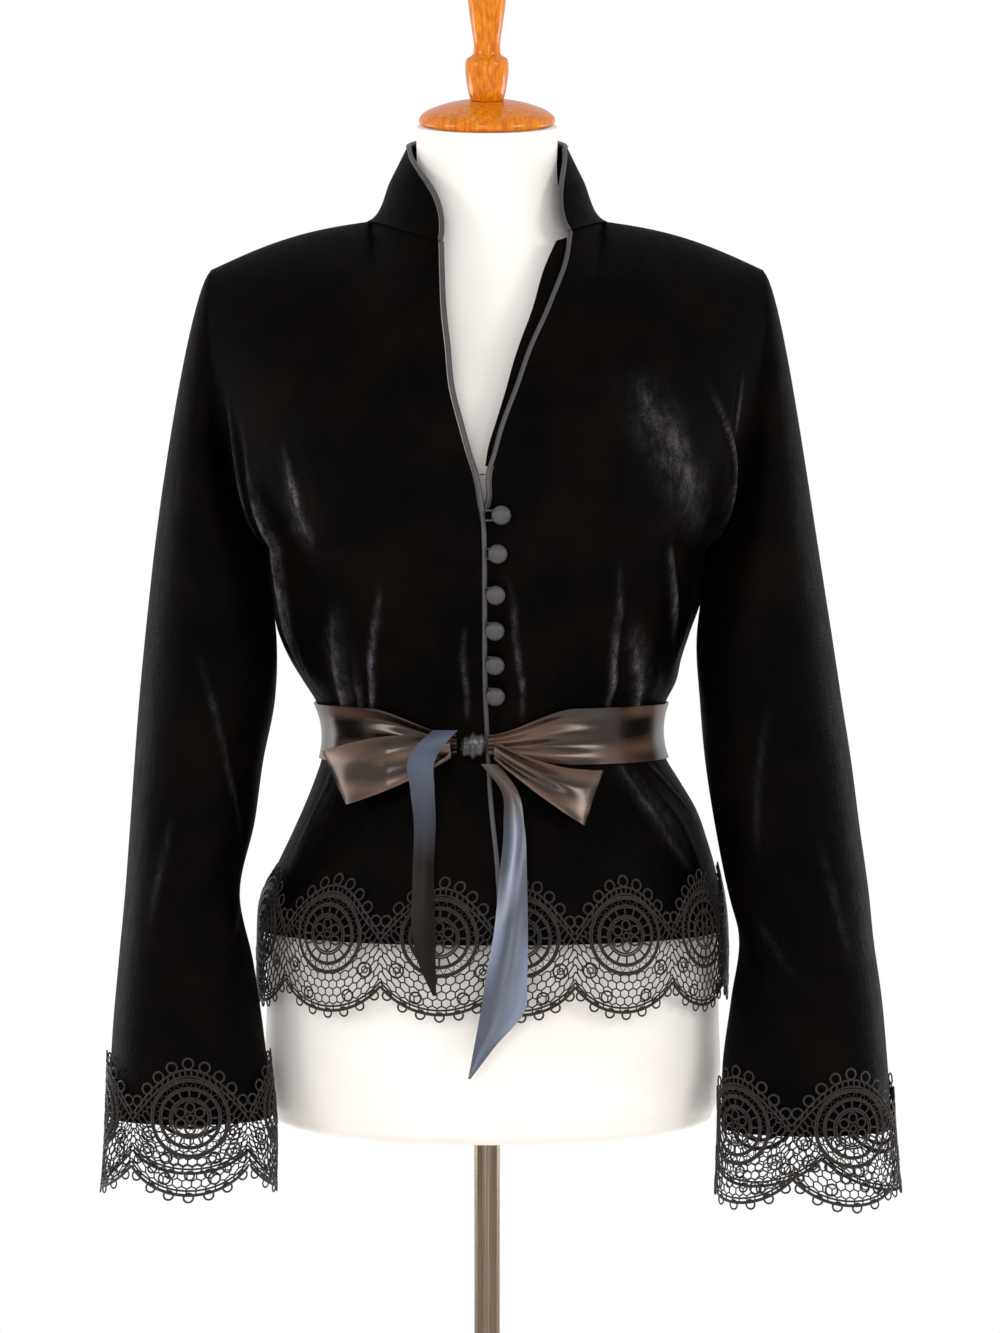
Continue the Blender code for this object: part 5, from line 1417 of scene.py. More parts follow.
@dataclass(frozen=True)
class Sleeve:
    """Set-in sleeve: a cap from the armhole seam, then an ellipse at each height down to the cuff.

    The turn runs round the arm from its outer side by way of the front.
    """

    body: JacketBody
    side: Side
    rows: Sequence[SleeveRow]
    creases: Sequence[Crease]
    cuff_height: float
    thickness: float = 0.0018
    armhole_seam: float = -0.0015
    cap_reach_top: float = 0.036
    cap_reach_armpit: float = 0.010
    cap_step: float = 0.02
    cap_fullness: float = 1.15
    cap_rows: int = 22
    turn_step: float = 0.01
    fall_step: float = 0.002
    hanging_rows: int = 112
    columns: int = 104

    def section(self, turn: Array, height: Array) -> Array:
        """Point of the hanging sleeve.

        Args:
            turn: angle round the arm.
            height: height of the section.
        Returns:
            Points in metres.
        """
        inner, outer, forward, half_depth = follow_each(self.rows, "height", height, *SleeveRow._fields[1:])
        x = self.side.value * (0.5 * (inner + outer) + 0.5 * (outer - inner) * np.cos(turn))
        y = -forward - half_depth * np.sin(turn)
        return stacked(x, y, np.broadcast_to(height, x.shape))

    def cap(self, turn: Array, share: Array) -> Array:
        """Point of the cap: a cubic from the armhole seam outwards and down into the first section.

        Args:
            turn: angle round the arm.
            share: share of the way down the cap.
        Returns:
            Points in metres.
        """
        rise = 1 - np.minimum(turn, 2 * math.pi - turn) / math.pi
        sideways = np.full_like(rise, self.side.value)
        front = self.body.point(sideways, rise, Face.FRONT)
        back = self.body.point(sideways, rise, Face.BACK)
        start = np.where((turn <= math.pi)[..., None], front, back)
        start[..., 0] += self.side.value * self.armhole_seam
        top = self.rows[-1].height
        end = self.section(turn, np.full_like(turn, top))
        below = self.section(turn, np.full_like(turn, top - self.cap_step))
        more_reach = self.cap_reach_top - self.cap_reach_armpit
        reach = self.cap_reach_armpit + more_reach * 0.5 * (1 + np.cos(turn))
        start_slope = np.zeros_like(start)
        start_slope[..., 0] = self.side.value * reach
        fall = np.abs(start[..., 2] - end[..., 2])[..., None]
        end_slope = (below - end) / self.cap_step * fall * self.cap_fullness
        return hermite(start, start_slope, end, end_slope, share[..., None])

    def on_cuff(self, turn: Array, rise: Array, lift: Array) -> Array:
        """Point just off the sleeve near its cuff.

        Args:
            turn: angle round the arm.
            rise: height above the velvet edge.
            lift: how far off the cloth.
        Returns:
            Points in metres.
        """
        height = self.cuff_height + rise
        ahead = self.section(turn + self.turn_step, height) - self.section(turn - self.turn_step, height)
        below = self.section(turn, height - self.fall_step) - self.section(turn, height + self.fall_step)
        normal = unit(self.side.value * np.cross(ahead, below))
        return self.section(turn, height) + normal * np.asarray(lift)[..., None]

    def build(self, wardrobe: Wardrobe) -> None:
        """Make and dress the sleeve.

        Args:
            wardrobe: the finishes.
        """
        line = even_turns(self.columns)
        turn, share = np.meshgrid(line, np.linspace(0, 1, self.cap_rows + 1)[:-1])
        cap = self.cap(turn, share)
        heights = np.linspace(self.rows[-1].height, self.cuff_height, self.hanging_rows + 1)
        turn, height = np.meshgrid(line, heights)
        points = np.concatenate([cap, self.section(turn, height)])
        round_arm = np.roll(points, -1, axis=1) - np.roll(points, 1, axis=1)
        normals = unit(self.side.value * np.cross(round_arm, np.gradient(points, axis=0)))
        stand = crease_stand(self.creases, line[None, :], points[..., 2])
        # Painted sheen along the sleeve's sharp creases.
        parted = painted_sheen_share(self.creases, (), line[None, :], points[..., 2])
        outer = points + normals * stand[..., None]
        name = "sleeve_" + self.side.name.lower()
        inner = outer - normals * self.thickness
        wardrobe.sheet("cloth_", name, "velvet", "hung", outer, inner, True, parted)


# Collar


@dataclass(frozen=True)
class Collar:
    """Stand collar: from a foot that flares onto the shoulders up to a smaller top ring.

    Above the foot it is straight. Its front corners are swept back in a curve.
    """

    body: JacketBody
    thickness: float = 0.0018
    seam: float = 0.0020
    top_half_width: float = 0.0585
    top_centre_depth: float = 0.014
    top_front_reach: float = 0.056
    top_back_reach: float = 0.060
    top_height: float = 1.462
    back_rise: float = 0.022
    right_base: float = math.radians(24.4)
    left_base: float = math.radians(45.1)
    corner_top: float = math.radians(80.0)
    corner_power: float = 2.5
    columns: int = 150
    rows: int = 34
    piping_start: float = 0.20
    flare_share: float = 0.55
    flare_reach: float = 0.034
    flare_lap: float = 0.0030
    flare_lift: float = 0.0007
    shoulder_slope: float = math.radians(19.0)
    chest_slope: float = math.radians(66.0)

    def ring(self, turn: Array, rise: Array) -> Array:
        """Point of the collar.

        Args:
            turn: angle round the neck, 0 in front and pi behind.
            rise: share of the way up.
        Returns:
            Points in metres.
        """
        body = self.body
        behind = np.abs(turn) > math.pi / 2
        base_reach = np.where(behind, body.neck_back_reach, body.neck_front_reach)
        top_reach = np.where(behind, self.top_back_reach, self.top_front_reach)
        half_width = body.neck_half_width + (self.top_half_width - body.neck_half_width) * rise
        reach = base_reach + (top_reach - base_reach) * rise
        centre = body.neck_centre_depth + (self.top_centre_depth - body.neck_centre_depth) * rise
        middle = np.where(behind, body.neck_back_height, body.neck_front_height)
        base = middle + (body.neck_side_height - middle) * np.abs(np.sin(turn)) + self.seam
        top = self.top_height + self.back_rise * 0.5 * (1 - np.cos(turn))
        return stacked(half_width * np.sin(turn), centre - reach * np.cos(turn), base + (top - base) * rise)

    def flared(self, turn: Array, rise: Array) -> Array:
        """Point of the collar with its foot swept out: a cubic that leaves the body along its slope.

        Args:
            turn: angle round the neck, 0 in front and pi behind.
            rise: share of the way up.
        Returns:
            Points in metres.
        """
        zero = np.zeros_like(turn)
        out = stacked(np.sin(turn), -np.cos(turn), zero)
        up = stacked(zero, zero, zero + 1.0)
        steeper = (self.chest_slope - self.shoulder_slope) * np.cos(turn) ** 2
        slope = (self.shoulder_slope + steeper)[..., None]
        climb = up * np.sin(slope) - out * np.cos(slope)
        seam = self.ring(turn, zero) - self.seam * up
        start = seam - climb * self.flare_lap + (out * np.sin(slope) + up * np.cos(slope)) * self.flare_lift
        joint = self.ring(turn, zero + self.flare_share)
        joint_slope = joint - self.ring(turn, zero)
        share = np.clip(rise / self.flare_share, 0, 1)[..., None]
        foot = hermite(start, climb * self.flare_reach, joint, joint_slope, share)
        return np.where(rise[..., None] < self.flare_share, foot, self.ring(turn, rise))

    def build(self, wardrobe: Wardrobe, piping: Piping) -> None:
        """Make and dress the collar and its piping.

        Args:
            wardrobe: the finishes.
            piping: maker of piping.
        """
        share, rise = np.meshgrid(np.linspace(0, 1, self.columns + 1), np.linspace(0, 1, self.rows + 1))
        corner = rise ** self.corner_power
        start = -(self.right_base + (self.corner_top - self.right_base) * corner)
        end = self.left_base + (self.corner_top - self.left_base) * corner - 2 * math.pi
        turn = start + (end - start) * share
        outer = self.flared(np.where(turn < -math.pi, turn + 2 * math.pi, turn), rise)
        normals = grid_normals(outer)
        wardrobe.sheet("cloth_", "collar", "velvet", "stretched", outer, outer - normals * self.thickness)
        path = np.concatenate([outer[:-1, 0], outer[-1], outer[:-1, -1][::-1]])
        directions = np.concatenate([normals[:-1, 0], normals[-1], normals[:-1, -1][::-1]])
        path[0] += self.piping_start * (path[1] - path[0])
        path[-1] += self.piping_start * (path[-2] - path[-1])
        piping.build(wardrobe, "cord_collar", "piping_collar", path, directions)


# Fastenings


class ButtonRow(NamedTuple):
    """Place of a button on the left front."""

    node: str
    across: float
    height: float


class ProfileRow(NamedTuple):
    """Radius and height of a turned shape."""

    radius: float
    height: float


BUTTON_ROWS = table(
    ButtonRow,
    ("button_1", 0.01, 1.209),
    ("button_2", 0.0076, 1.183),
    ("button_3", 0.0062, 1.1555),
    ("button_4", 0.0056, 1.131),
    ("button_5", 0.0056, 1.107),
    ("button_6", 0.006, 1.085),
)
BUTTON_PROFILE = table(
    ProfileRow,
    (0.002, 0.0),
    (0.002, 0.0042),
    (0.0054, 0.0046),
    (0.0064, 0.0054),
    (0.0067, 0.0068),
    (0.0061, 0.0086),
    (0.0043, 0.0101),
    (0.002, 0.0108),
    (0.0003, 0.011),
)


def smooth_profile(rows: Sequence[ProfileRow], count: int) -> Array:
    """Radius and height of a number of points along a smooth line through a turned profile."""
    walk = lengths_along(np.array(rows))
    return spline(walk, np.array(rows), np.linspace(0, walk[-1], count))


@dataclass(frozen=True)
class Fastenings:
    """Satin-covered shank buttons on the left front, and the right front's cord loops round their shanks."""

    body: JacketBody
    sides: int = 36
    rings: int = 26
    gathers: int = 13
    gather_depth: float = 0.00012
    top_share: float = 0.48
    top_radius: float = 0.0066
    top_rise: float = 0.0106
    loop_radius: float = 0.0007
    loop_half_height: float = 0.0034
    loop_rise: float = 0.0034
    loop_set_off: float = 0.0044
    loop_fullness: float = 0.7
    loop_points: int = 40
    loop_sides: int = 8
    rim_start: float = 0.004
    rim_width: float = 0.002

    def seat(self, row: ButtonRow) -> tuple[Array, Array]:
        """Foot and axis of a button, so that its dome reaches as far forward as its node does.

        Args:
            row: the button.
        Returns:
            Foot point and outward direction.
        """
        across = self.body.across_at(row.across, row.height)
        level = self.body.level_of(row.height)
        normal = self.body.normal(across, level, Face.FRONT)
        start = self.body.point(across, level, Face.FRONT)
        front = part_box(row.node)[0][1] + self.top_share * self.top_radius * math.sqrt(1 - normal[1] ** 2)
        return start + normal * ((front - start[1]) / normal[1] - self.top_rise), normal

    def build(self, wardrobe: Wardrobe) -> None:
        """Make and dress the buttons and their loops.

        Args:
            wardrobe: the finishes.
        """
        turn = even_turns(self.sides)
        profile = smooth_profile(BUTTON_PROFILE, self.rings)
        loops = []
        for row in BUTTON_ROWS:
            foot, normal = self.seat(row)
            side = unit(np.cross(np.array([0.0, 0.0, 1.0]), normal))
            up = np.cross(normal, side)
            circle = np.cos(turn)[:, None] * side + np.sin(turn)[:, None] * up
            rim = ease((profile[:, 0] - self.rim_start) / self.rim_width)
            radius = profile[:, :1] + self.gather_depth * rim[:, None] * np.cos(self.gathers * turn)[None, :]
            rings = foot + normal * profile[:, 1][:, None, None] + circle[None, :, :] * radius[..., None]
            wardrobe.dress(add_rings("cover_" + row.node, rings), "charcoal_satin", [row.node])
            loops.append(self.loop(row, foot, normal))
        faces = []
        size = self.loop_points * self.loop_sides
        for number in range(len(loops)):
            faces += tube_faces(self.loop_points, self.loop_sides, number * size)
        vertices = np.concatenate(loops).reshape(-1, 3)
        wardrobe.dress(add_mesh("button_loops", vertices, faces, vertices[:, [0, 2]]), "charcoal_satin", [])

    def loop(self, row: ButtonRow, foot: Array, normal: Array) -> Array:
        """Cord loop: out from the piped edge, half round the shank and back.

        Args:
            row: the button.
            foot: foot of the button.
            normal: its axis.
        Returns:
            Rings of the cord.
        """
        edge = float(follow(EDGE_ROWS, "height", "right_front", row.height)) + self.loop_set_off
        turn = np.linspace(-math.pi / 2, math.pi / 2, self.loop_points)
        reach = row.across + self.loop_half_height - edge
        x = edge + reach * np.cos(turn) ** self.loop_fullness
        z = foot[2] + self.loop_half_height * np.sin(turn)
        y = np.full_like(x, foot[1] + normal[1] * self.loop_rise)
        path = stacked(x, y, z)
        outwards = np.broadcast_to(normal, path.shape)
        return tube_rings(path, outwards, np.full(len(path), self.loop_radius), self.loop_sides)


# Ribbon belt and bow


class LoopRow(NamedTuple):
    """A bow loop: ends of its upper and lower edge, the bow of those edges, how far it puffs, its pleats."""

    node: str
    upper_x: float
    upper_z: float
    lower_x: float
    lower_z: float
    upper_bow: float
    lower_bow: float
    puff: float
    pleats: float


class TailRow(NamedTuple):
    """A bow tail: left and right edge by fall from the knot, and how far each stands off the jacket."""

    fall: float
    left: float
    right: float
    left_stand: float
    right_stand: float


LOOP_ROWS = table(
    LoopRow,
    ("bow_loop_right", -0.1155, 1.044, -0.0985, 1.0075, 0.006, -0.003, 0.0085, 1.5),
    ("bow_loop_left", 0.0815, 1.0315, 0.068, 0.9945, -0.006, -0.002, 0.0085, 1.7),
)
TAIL_ON_RIGHT_SIDE = table(
    TailRow,
    (-1.0605, -0.037, -0.02, 0.019, 0.018),
    (-1.057, -0.0415, -0.0235, 0.0255, 0.0245),
    (-1.0415, -0.054, -0.035, 0.0262, 0.0255),
    (-1.02, -0.053, -0.036, 0.025, 0.0235),
    (-1.0, -0.0505, -0.0352, 0.023, 0.015),
    (-0.96, -0.051, -0.0365, 0.02, 0.009),
    (-0.92, -0.051, -0.0352, 0.018, 0.008),
    (-0.901, -0.047, -0.035, 0.015, 0.008),
    (-0.878, -0.037, -0.0346, 0.011, 0.009),
)
TAIL_ON_LEFT_SIDE = table(
    TailRow,
    (-1.037, -0.004, 0.008, 0.015, 0.015),
    (-1.02, 0.0095, 0.021, 0.016, 0.022),
    (-0.995, 0.0118, 0.0262, 0.011, 0.022),
    (-0.9576, 0.0087, 0.028, 0.0085, 0.018),
    (-0.9225, 0.0052, 0.0286, 0.0085, 0.0145),
    (-0.8873, -0.001, 0.028, 0.0085, 0.012),
    (-0.8687, -0.0038, 0.0268, 0.009, 0.011),
    (-0.843, -0.0085, 0.006, 0.01, 0.01),
    (-0.8205, -0.0127, -0.011, 0.01, 0.01),
)


@dataclass(frozen=True)
class RibbonBelt:
    """Satin ribbon round the waist, drawn in at the knot, with two loops and two tails."""

    body: JacketBody
    width: float = 0.041
    thickness: float = 0.0010
    lift: float = 0.0013
    knot_x: float = -0.0095
    knot_height: float = 1.0495
    knot_half_width: float = 0.0085
    knot_half_height: float = 0.0100
    knot_half_depth: float = 0.0060
    knot_stand: float = 0.0135
    knot_taper: float = 0.55
    knot_pleat: float = 0.13
    knot_turns: float = 2.6
    knot_twist: float = 0.8
    knot_lean: float = 0.10
    knot_size: float = 0.86
    knot_points: int = 40
    gather: float = 0.062
    gathered_half_width: float = 0.0075
    gather_depth: float = 0.0019
    fan_reach: float = 1.9
    fan_turns: float = 2.4
    fan_start: float = 0.6
    waist_half_width: float = 0.1215
    waist_lean: float = 0.004
    waist_quarter: float = 0.19
    knot_gap: float = 0.055
    knot_clear: float = 0.008
    knot_rise: float = 0.0035
    loop_stand: float = 0.0140
    loop_root_half_height: float = 0.0055
    loop_root_gap: float = 0.0020
    loop_root_turn: float = 0.06
    loop_edge_puff: float = 0.35
    loop_layer_gap: float = 0.0012
    loop_pleat: float = 0.0021
    pleat_start: float = 1.1
    pleat_root: float = 0.2
    lean_start: float = 0.070
    lean_slope: float = 0.30
    tail_curl: float = 0.0035
    tail_curl_width: float = 0.02
    columns: int = 300
    rows: int = 24
    loop_columns: int = 110
    loop_rows: int = 30
    tail_columns: int = 120
    tail_rows: int = 21

    def band(self) -> tuple[Array, Array]:
        """The belt: from one side of the knot round to the other, with gathers that fan out from it.

        Returns:
            Outer and inner grid.
        """
        knot = 2 / math.pi * math.asin((self.knot_x - self.waist_lean) / self.waist_half_width)
        start = knot - self.knot_gap
        walk = np.linspace(start, knot + self.knot_gap - 4, self.columns + 1)
        front = (walk > -1) | (walk < -3)
        across = np.where(walk > -1, walk, np.where(walk < -3, walk + 4, -2 - walk))
        away = np.abs(across - knot) * self.waist_quarter
        spread = np.where(front, ease((away - self.knot_clear) / self.gather), 1.0)
        half = self.gathered_half_width + (self.width / 2 - self.gathered_half_width) * spread
        middle = self.knot_height + (self.body.waist_height - self.knot_height) * spread
        share = np.linspace(-1, 1, self.rows + 1)[:, None]
        height = middle[None, :] + share * half[None, :]
        level = self.body.level_of(height)
        wide = np.broadcast_to(across[None, :], height.shape)
        on_front = np.broadcast_to(front[None, :], height.shape)[..., None]
        points = [self.body.point(wide, level, face) for face in Face]
        normals = [self.body.normal(wide, level, face) for face in Face]
        drawn = (1 - ease((away - self.knot_clear) / (self.fan_reach * self.gather))) * front
        folds = 1 + np.sin(self.fan_turns * math.pi * share + self.fan_start)
        fan = self.gather_depth * drawn[None, :] * folds
        lift = self.lift + self.knot_rise * (1 - spread)[None, :] + fan
        directions = np.where(on_front, normals[0], normals[1])
        inner = np.where(on_front, points[0], points[1]) + directions * lift[..., None]
        return inner + directions * self.thickness, inner

    def loop(self, row: LoopRow) -> tuple[Array, Array]:
        """A loop: out from the knot, round its fold and back, with pleats that fade from the knot outwards.

        Args:
            row: the loop.
        Returns:
            Outer and inner grid.
        """
        tau = np.linspace(self.loop_root_turn, math.pi - self.loop_root_turn, self.loop_columns)[None, :]
        reach = np.sin(tau)
        share = np.linspace(0, 1, self.loop_rows)[:, None]
        root_x = self.knot_x + math.copysign(self.knot_half_width + self.loop_root_gap, row.upper_x)
        root_top = self.knot_height + self.loop_root_half_height
        root_low = self.knot_height - self.loop_root_half_height
        bow = 4 * reach * (1 - reach)
        upper_x = root_x + (row.upper_x - root_x) * reach
        lower_x = root_x + (row.lower_x - root_x) * reach
        upper_z = root_top + (row.upper_z - root_top) * reach + row.upper_bow * bow
        lower_z = root_low + (row.lower_z - root_low) * reach + row.lower_bow * bow
        x = lower_x + (upper_x - lower_x) * share
        z = lower_z + (upper_z - lower_z) * share
        swell = self.loop_edge_puff + (1 - self.loop_edge_puff) * np.sin(math.pi * share)
        puff = row.puff * swell * np.sqrt(np.clip(reach, 0, 1)) + self.loop_layer_gap
        fade = (1 - reach ** 3) * ease(reach / self.pleat_root)
        pleat = self.loop_pleat * np.sin(2 * math.pi * row.pleats * share + self.pleat_start) * fade
        lift = self.loop_stand - np.cos(tau) * (puff + pleat)
        front = self.body.before_front(x, z, lift, self.lean_start, self.lean_slope)
        normals = grid_normals(front)
        if np.sum(normals * (front - front.mean(axis=(0, 1)))) < 0:
            normals = -normals
        return front, front - normals * self.thickness

    def tail(self, rows: Sequence[TailRow]) -> tuple[Array, Array]:
        """A tail: hanging, slightly curled across, cut off on a slant.

        Args:
            rows: its edges.
        Returns:
            Outer and inner grid.
        """
        fall = np.linspace(rows[0].fall, rows[-1].fall, self.tail_columns)[None, :]
        left, right, left_stand, right_stand = follow_each(rows, "fall", fall, *TailRow._fields[1:])
        share = np.linspace(0, 1, self.tail_rows)[:, None]
        x = left + (right - left) * share
        curl = self.tail_curl * np.sin(math.pi * share) * np.clip((right - left) / self.tail_curl_width, 0, 1)
        lift = left_stand + (right_stand - left_stand) * share + curl
        height = np.broadcast_to(-fall, x.shape)
        front = self.body.before_front(x, height, lift, self.lean_start, self.lean_slope)
        normals = grid_normals(front)
        normals = np.where(normals[..., 1:2] > 0, -normals, normals)
        return front, front - normals * self.thickness

    def knot(self) -> Array:
        """The knot: ribbon wrapped over the middle, a rounded bundle whose pleats run up and down over it.

        Returns:
            Points by ring and side.
        """
        across = np.linspace(-1, 1, self.knot_points)[:, None]
        turn = even_turns(self.knot_points)[None, :]
        x, height, stand = np.array([self.knot_x, self.knot_height, self.knot_stand])
        place = self.body.before_front(x, height, stand, self.lean_start, self.lean_slope)
        pleats = np.cos(self.knot_turns * math.pi * across + self.knot_twist * np.sin(turn))
        swell = (1 - self.knot_taper * np.abs(across) ** 3) * (1 + self.knot_pleat * pleats)
        x = self.knot_half_width * (across + self.knot_lean * np.sin(turn))
        y = self.knot_half_depth * self.knot_size * swell * np.cos(turn)
        z = self.knot_half_height * self.knot_size * swell * np.sin(turn)
        return place + stacked(x, y, z)

    def build(self, wardrobe: Wardrobe) -> None:
        """Make and dress the belt and bow.

        Args:
            wardrobe: the finishes.
        """
        outer, inner = self.band()
        belt = add_shell("ribbon_band", outer, inner)
        wardrobe.dress(belt, "satin", ["ribbon_belt"], flat_cut(outer))
        wardrobe.dress(add_rings("ribbon_knot", self.knot()), "knot_satin", ["bow_knot"])
        for row in LOOP_ROWS:
            wardrobe.sheet("ribbon_", row.node, "satin", "folded", *self.loop(row))
        # The right tail wears the darker copy of the satin, painted shade; the left tail the bluish-grey
        # copy, a painted reflection.
        tails = (
            ("bow_tail_right", "reverse_satin", TAIL_ON_RIGHT_SIDE),
            ("bow_tail_left", "slate_satin", TAIL_ON_LEFT_SIDE),
        )
        for node, finish, rows in tails:
            wardrobe.sheet("ribbon_", node, finish, "hung", *self.tail(rows))


# Lace


class Strand(NamedTuple):
    """A cord of lace in the flat: points along and up, half width, whether it closes, stand of its middle."""

    points: Array
    half_width: float
    closed: bool
    stand: float


@dataclass(frozen=True)
class LacePattern:
    """One repeat of scalloped guipure lace in the flat: a ringed rosette under an arch of loops, in a net.

    Places are metres from the middle of the repeat and up from the velvet edge.
    """

    width: float
    cusp_drop: float = 0.029
    scallop_drop: float = 0.048
    valley_rise: float = 0.015
    peak_rise: float = 0.046
    medallion_rise: float = 0.005
    petals: int = 6
    petal_radius: float = 0.0074
    petal_half_length: float = 0.0034
    petal_half_width: float = 0.0031
    inner_rings: tuple = (0.0024, 0.0122, 0.0138)
    outer_rings: tuple = (0.0196, 0.0208, 0.0254, 0.0268)
    spokes: int = 16
    zigzags: int = 24
    arch_loops: int = 9
    arch_loop_radius: float = 0.0037
    arch_rungs: int = 20
    arch_cord_drop: float = 0.00777
    arch_band: float = 0.00444
    arch_clear: float = 0.00037
    hem_cord_rise: float = 0.0030
    picot_set_in: float = 0.55
    eyelet_core: float = 0.45
    hem_overlap: float = 0.0002
    ring_overlap: float = 0.0006
    low_stand: float = 0.0002
    ring_stand: float = 0.0003
    high_stand: float = 0.0004
    petal_points: int = 14
    border_points: int = 44
    picots: int = 7
    picot_radius: float = 0.0032
    course: float = 0.0052
    mesh_width: float = 0.0062
    zigzag: float = 0.0008
    eyelet_share: float = 0.36
    eyelet_drop: float = 0.018
    eyelet_radius: float = 0.0050
    low_ring_share: float = 0.20
    low_ring_drop: float = 0.0365
    low_ring_radius: float = 0.0040
    cord: float = 0.00070
    thin: float = 0.00052
    bold: float = 0.00110
    step: float = 0.0016

    def lower(self, along: Array) -> Array:
        """Lower scallop: an arc from cusp to cusp.

        Args:
            along: place along the repeat.
        Returns:
            Its height.
        """
        sag = self.scallop_drop - self.cusp_drop
        radius = ((self.width / 2) ** 2 + sag ** 2) / (2 * sag)
        return -self.cusp_drop - np.sqrt(radius ** 2 - along ** 2) + radius - sag

    def upper(self, along: Array) -> Array:
        """Upper arch: a cosine from valley to valley."""
        return self.valley_rise + (self.peak_rise - self.valley_rise) * np.cos(math.pi * along / self.width)

    def ring(self, centre: tuple[float, float], radius: float, half_width: float, stand: float) -> Strand:
        """A ring of cord.

        Args:
            centre: its middle.
            radius: its radius.
            half_width: half the cord's width.
            stand: stand of the cord.
        Returns:
            The ring.
        """
        count = max(8, int(2 * math.pi * radius / self.step))
        turn = even_turns(count)
        points = stacked(centre[0] + radius * np.cos(turn), centre[1] + radius * np.sin(turn))
        return Strand(points, half_width, True, stand)

    def medallion(self) -> list[Strand]:
        """Rosette, rings, the ladder of spokes between them and a zigzag band.

        Returns:
            Their cords.
        """
        centre = (0.0, self.medallion_rise)
        strands = [self.ring(centre, radius, self.cord, self.low_stand) for radius in self.inner_rings]
        strands += [self.ring(centre, radius, self.cord, self.ring_stand) for radius in self.outer_rings]
        turn = even_turns(self.petal_points)
        for petal in range(self.petals):
            lean = 2 * math.pi * (petal + 0.5) / self.petals
            out = self.petal_radius + self.petal_half_length * np.cos(turn)
            aside = self.petal_half_width * np.sin(turn)
            x = out * math.cos(lean) - aside * math.sin(lean)
            z = centre[1] + out * math.sin(lean) + aside * math.cos(lean)
            strands.append(Strand(stacked(x, z), self.cord, True, self.high_stand))
        ladder = np.linspace(self.inner_rings[-1], self.outer_rings[0], 3)
        for spoke in range(self.spokes):
            lean = 2 * math.pi * spoke / self.spokes
            points = stacked(ladder * math.cos(lean), centre[1] + ladder * math.sin(lean))
            strands.append(Strand(points, self.cord, False, 0.0))
        corner = np.arange(2 * self.zigzags)
        radius = np.where(corner % 2 == 0, self.outer_rings[1], self.outer_rings[2])
        lean = corner * math.pi / self.zigzags
        points = stacked(radius * np.cos(lean), centre[1] + radius * np.sin(lean))
        strands.append(Strand(points, self.thin, True, 0.0))
        return strands

    def borders(self) -> list[Strand]:
        """Arch of loops along the top, bold cord and picots along the bottom, eyelets by the cusps.

        Returns:
            Their cords.
        """
        half = self.width / 2
        along = np.linspace(-half, half, self.border_points)
        upper = self.upper(along)
        lower = self.lower(along)
        cord_top = upper - self.arch_cord_drop
        strands = [
            Strand(stacked(along, cord_top), self.cord, False, self.low_stand),
            Strand(stacked(along, cord_top - self.arch_band), self.cord, False, self.low_stand),
            Strand(stacked(along, lower), self.bold, False, self.high_stand),
            Strand(stacked(along, lower + self.hem_cord_rise), self.cord, False, self.low_stand),
        ]
        rows = (
            (upper - self.arch_loop_radius, self.arch_loops, self.arch_loop_radius),
            (lower - self.picot_set_in * self.picot_radius, self.picots, self.picot_radius),
        )
        for line, count, radius in rows:
            walk = lengths_along(stacked(along, line))
            for spot in (np.arange(count) + 0.5) / count * walk[-1]:
                centre = (float(np.interp(spot, walk, along)), float(np.interp(spot, walk, line)))
                strands.append(self.ring(centre, radius, self.cord, self.ring_stand))
        for spot in (np.arange(self.arch_rungs) + 0.5) / self.arch_rungs * self.width - half:
            top = float(self.upper(spot)) - self.arch_cord_drop
            rung = np.array([[spot, top], [spot, top - self.arch_band]])
            strands.append(Strand(rung, self.cord, False, 0.0))
        for side in (-1, 1):
            eyelet = (side * self.eyelet_share * self.width, -self.eyelet_drop)
            low = (side * self.low_ring_share * self.width, -self.low_ring_drop)
            core = self.eyelet_core * self.eyelet_radius
            strands.append(self.ring(eyelet, self.eyelet_radius, self.cord, self.ring_stand))
            strands.append(self.ring(eyelet, core, self.thin, self.low_stand))
            strands.append(self.ring(low, self.low_ring_radius, self.cord, self.ring_stand))
        return strands

    def inside(self, along: Array, rise: Array) -> Array:
        """Whether places lie in the net: above the scallop, under the arch, clear of the medallion.

        Args:
            along, rise: the places.
        Returns:
            Whether each lies in it.
        """
        away = np.hypot(along, rise - self.medallion_rise)
        low = rise > self.lower(along) - self.hem_overlap
        high = rise < self.upper(along) - self.arch_cord_drop - self.arch_band - self.arch_clear
        return low & high & (away > self.outer_rings[-1] - self.ring_overlap)

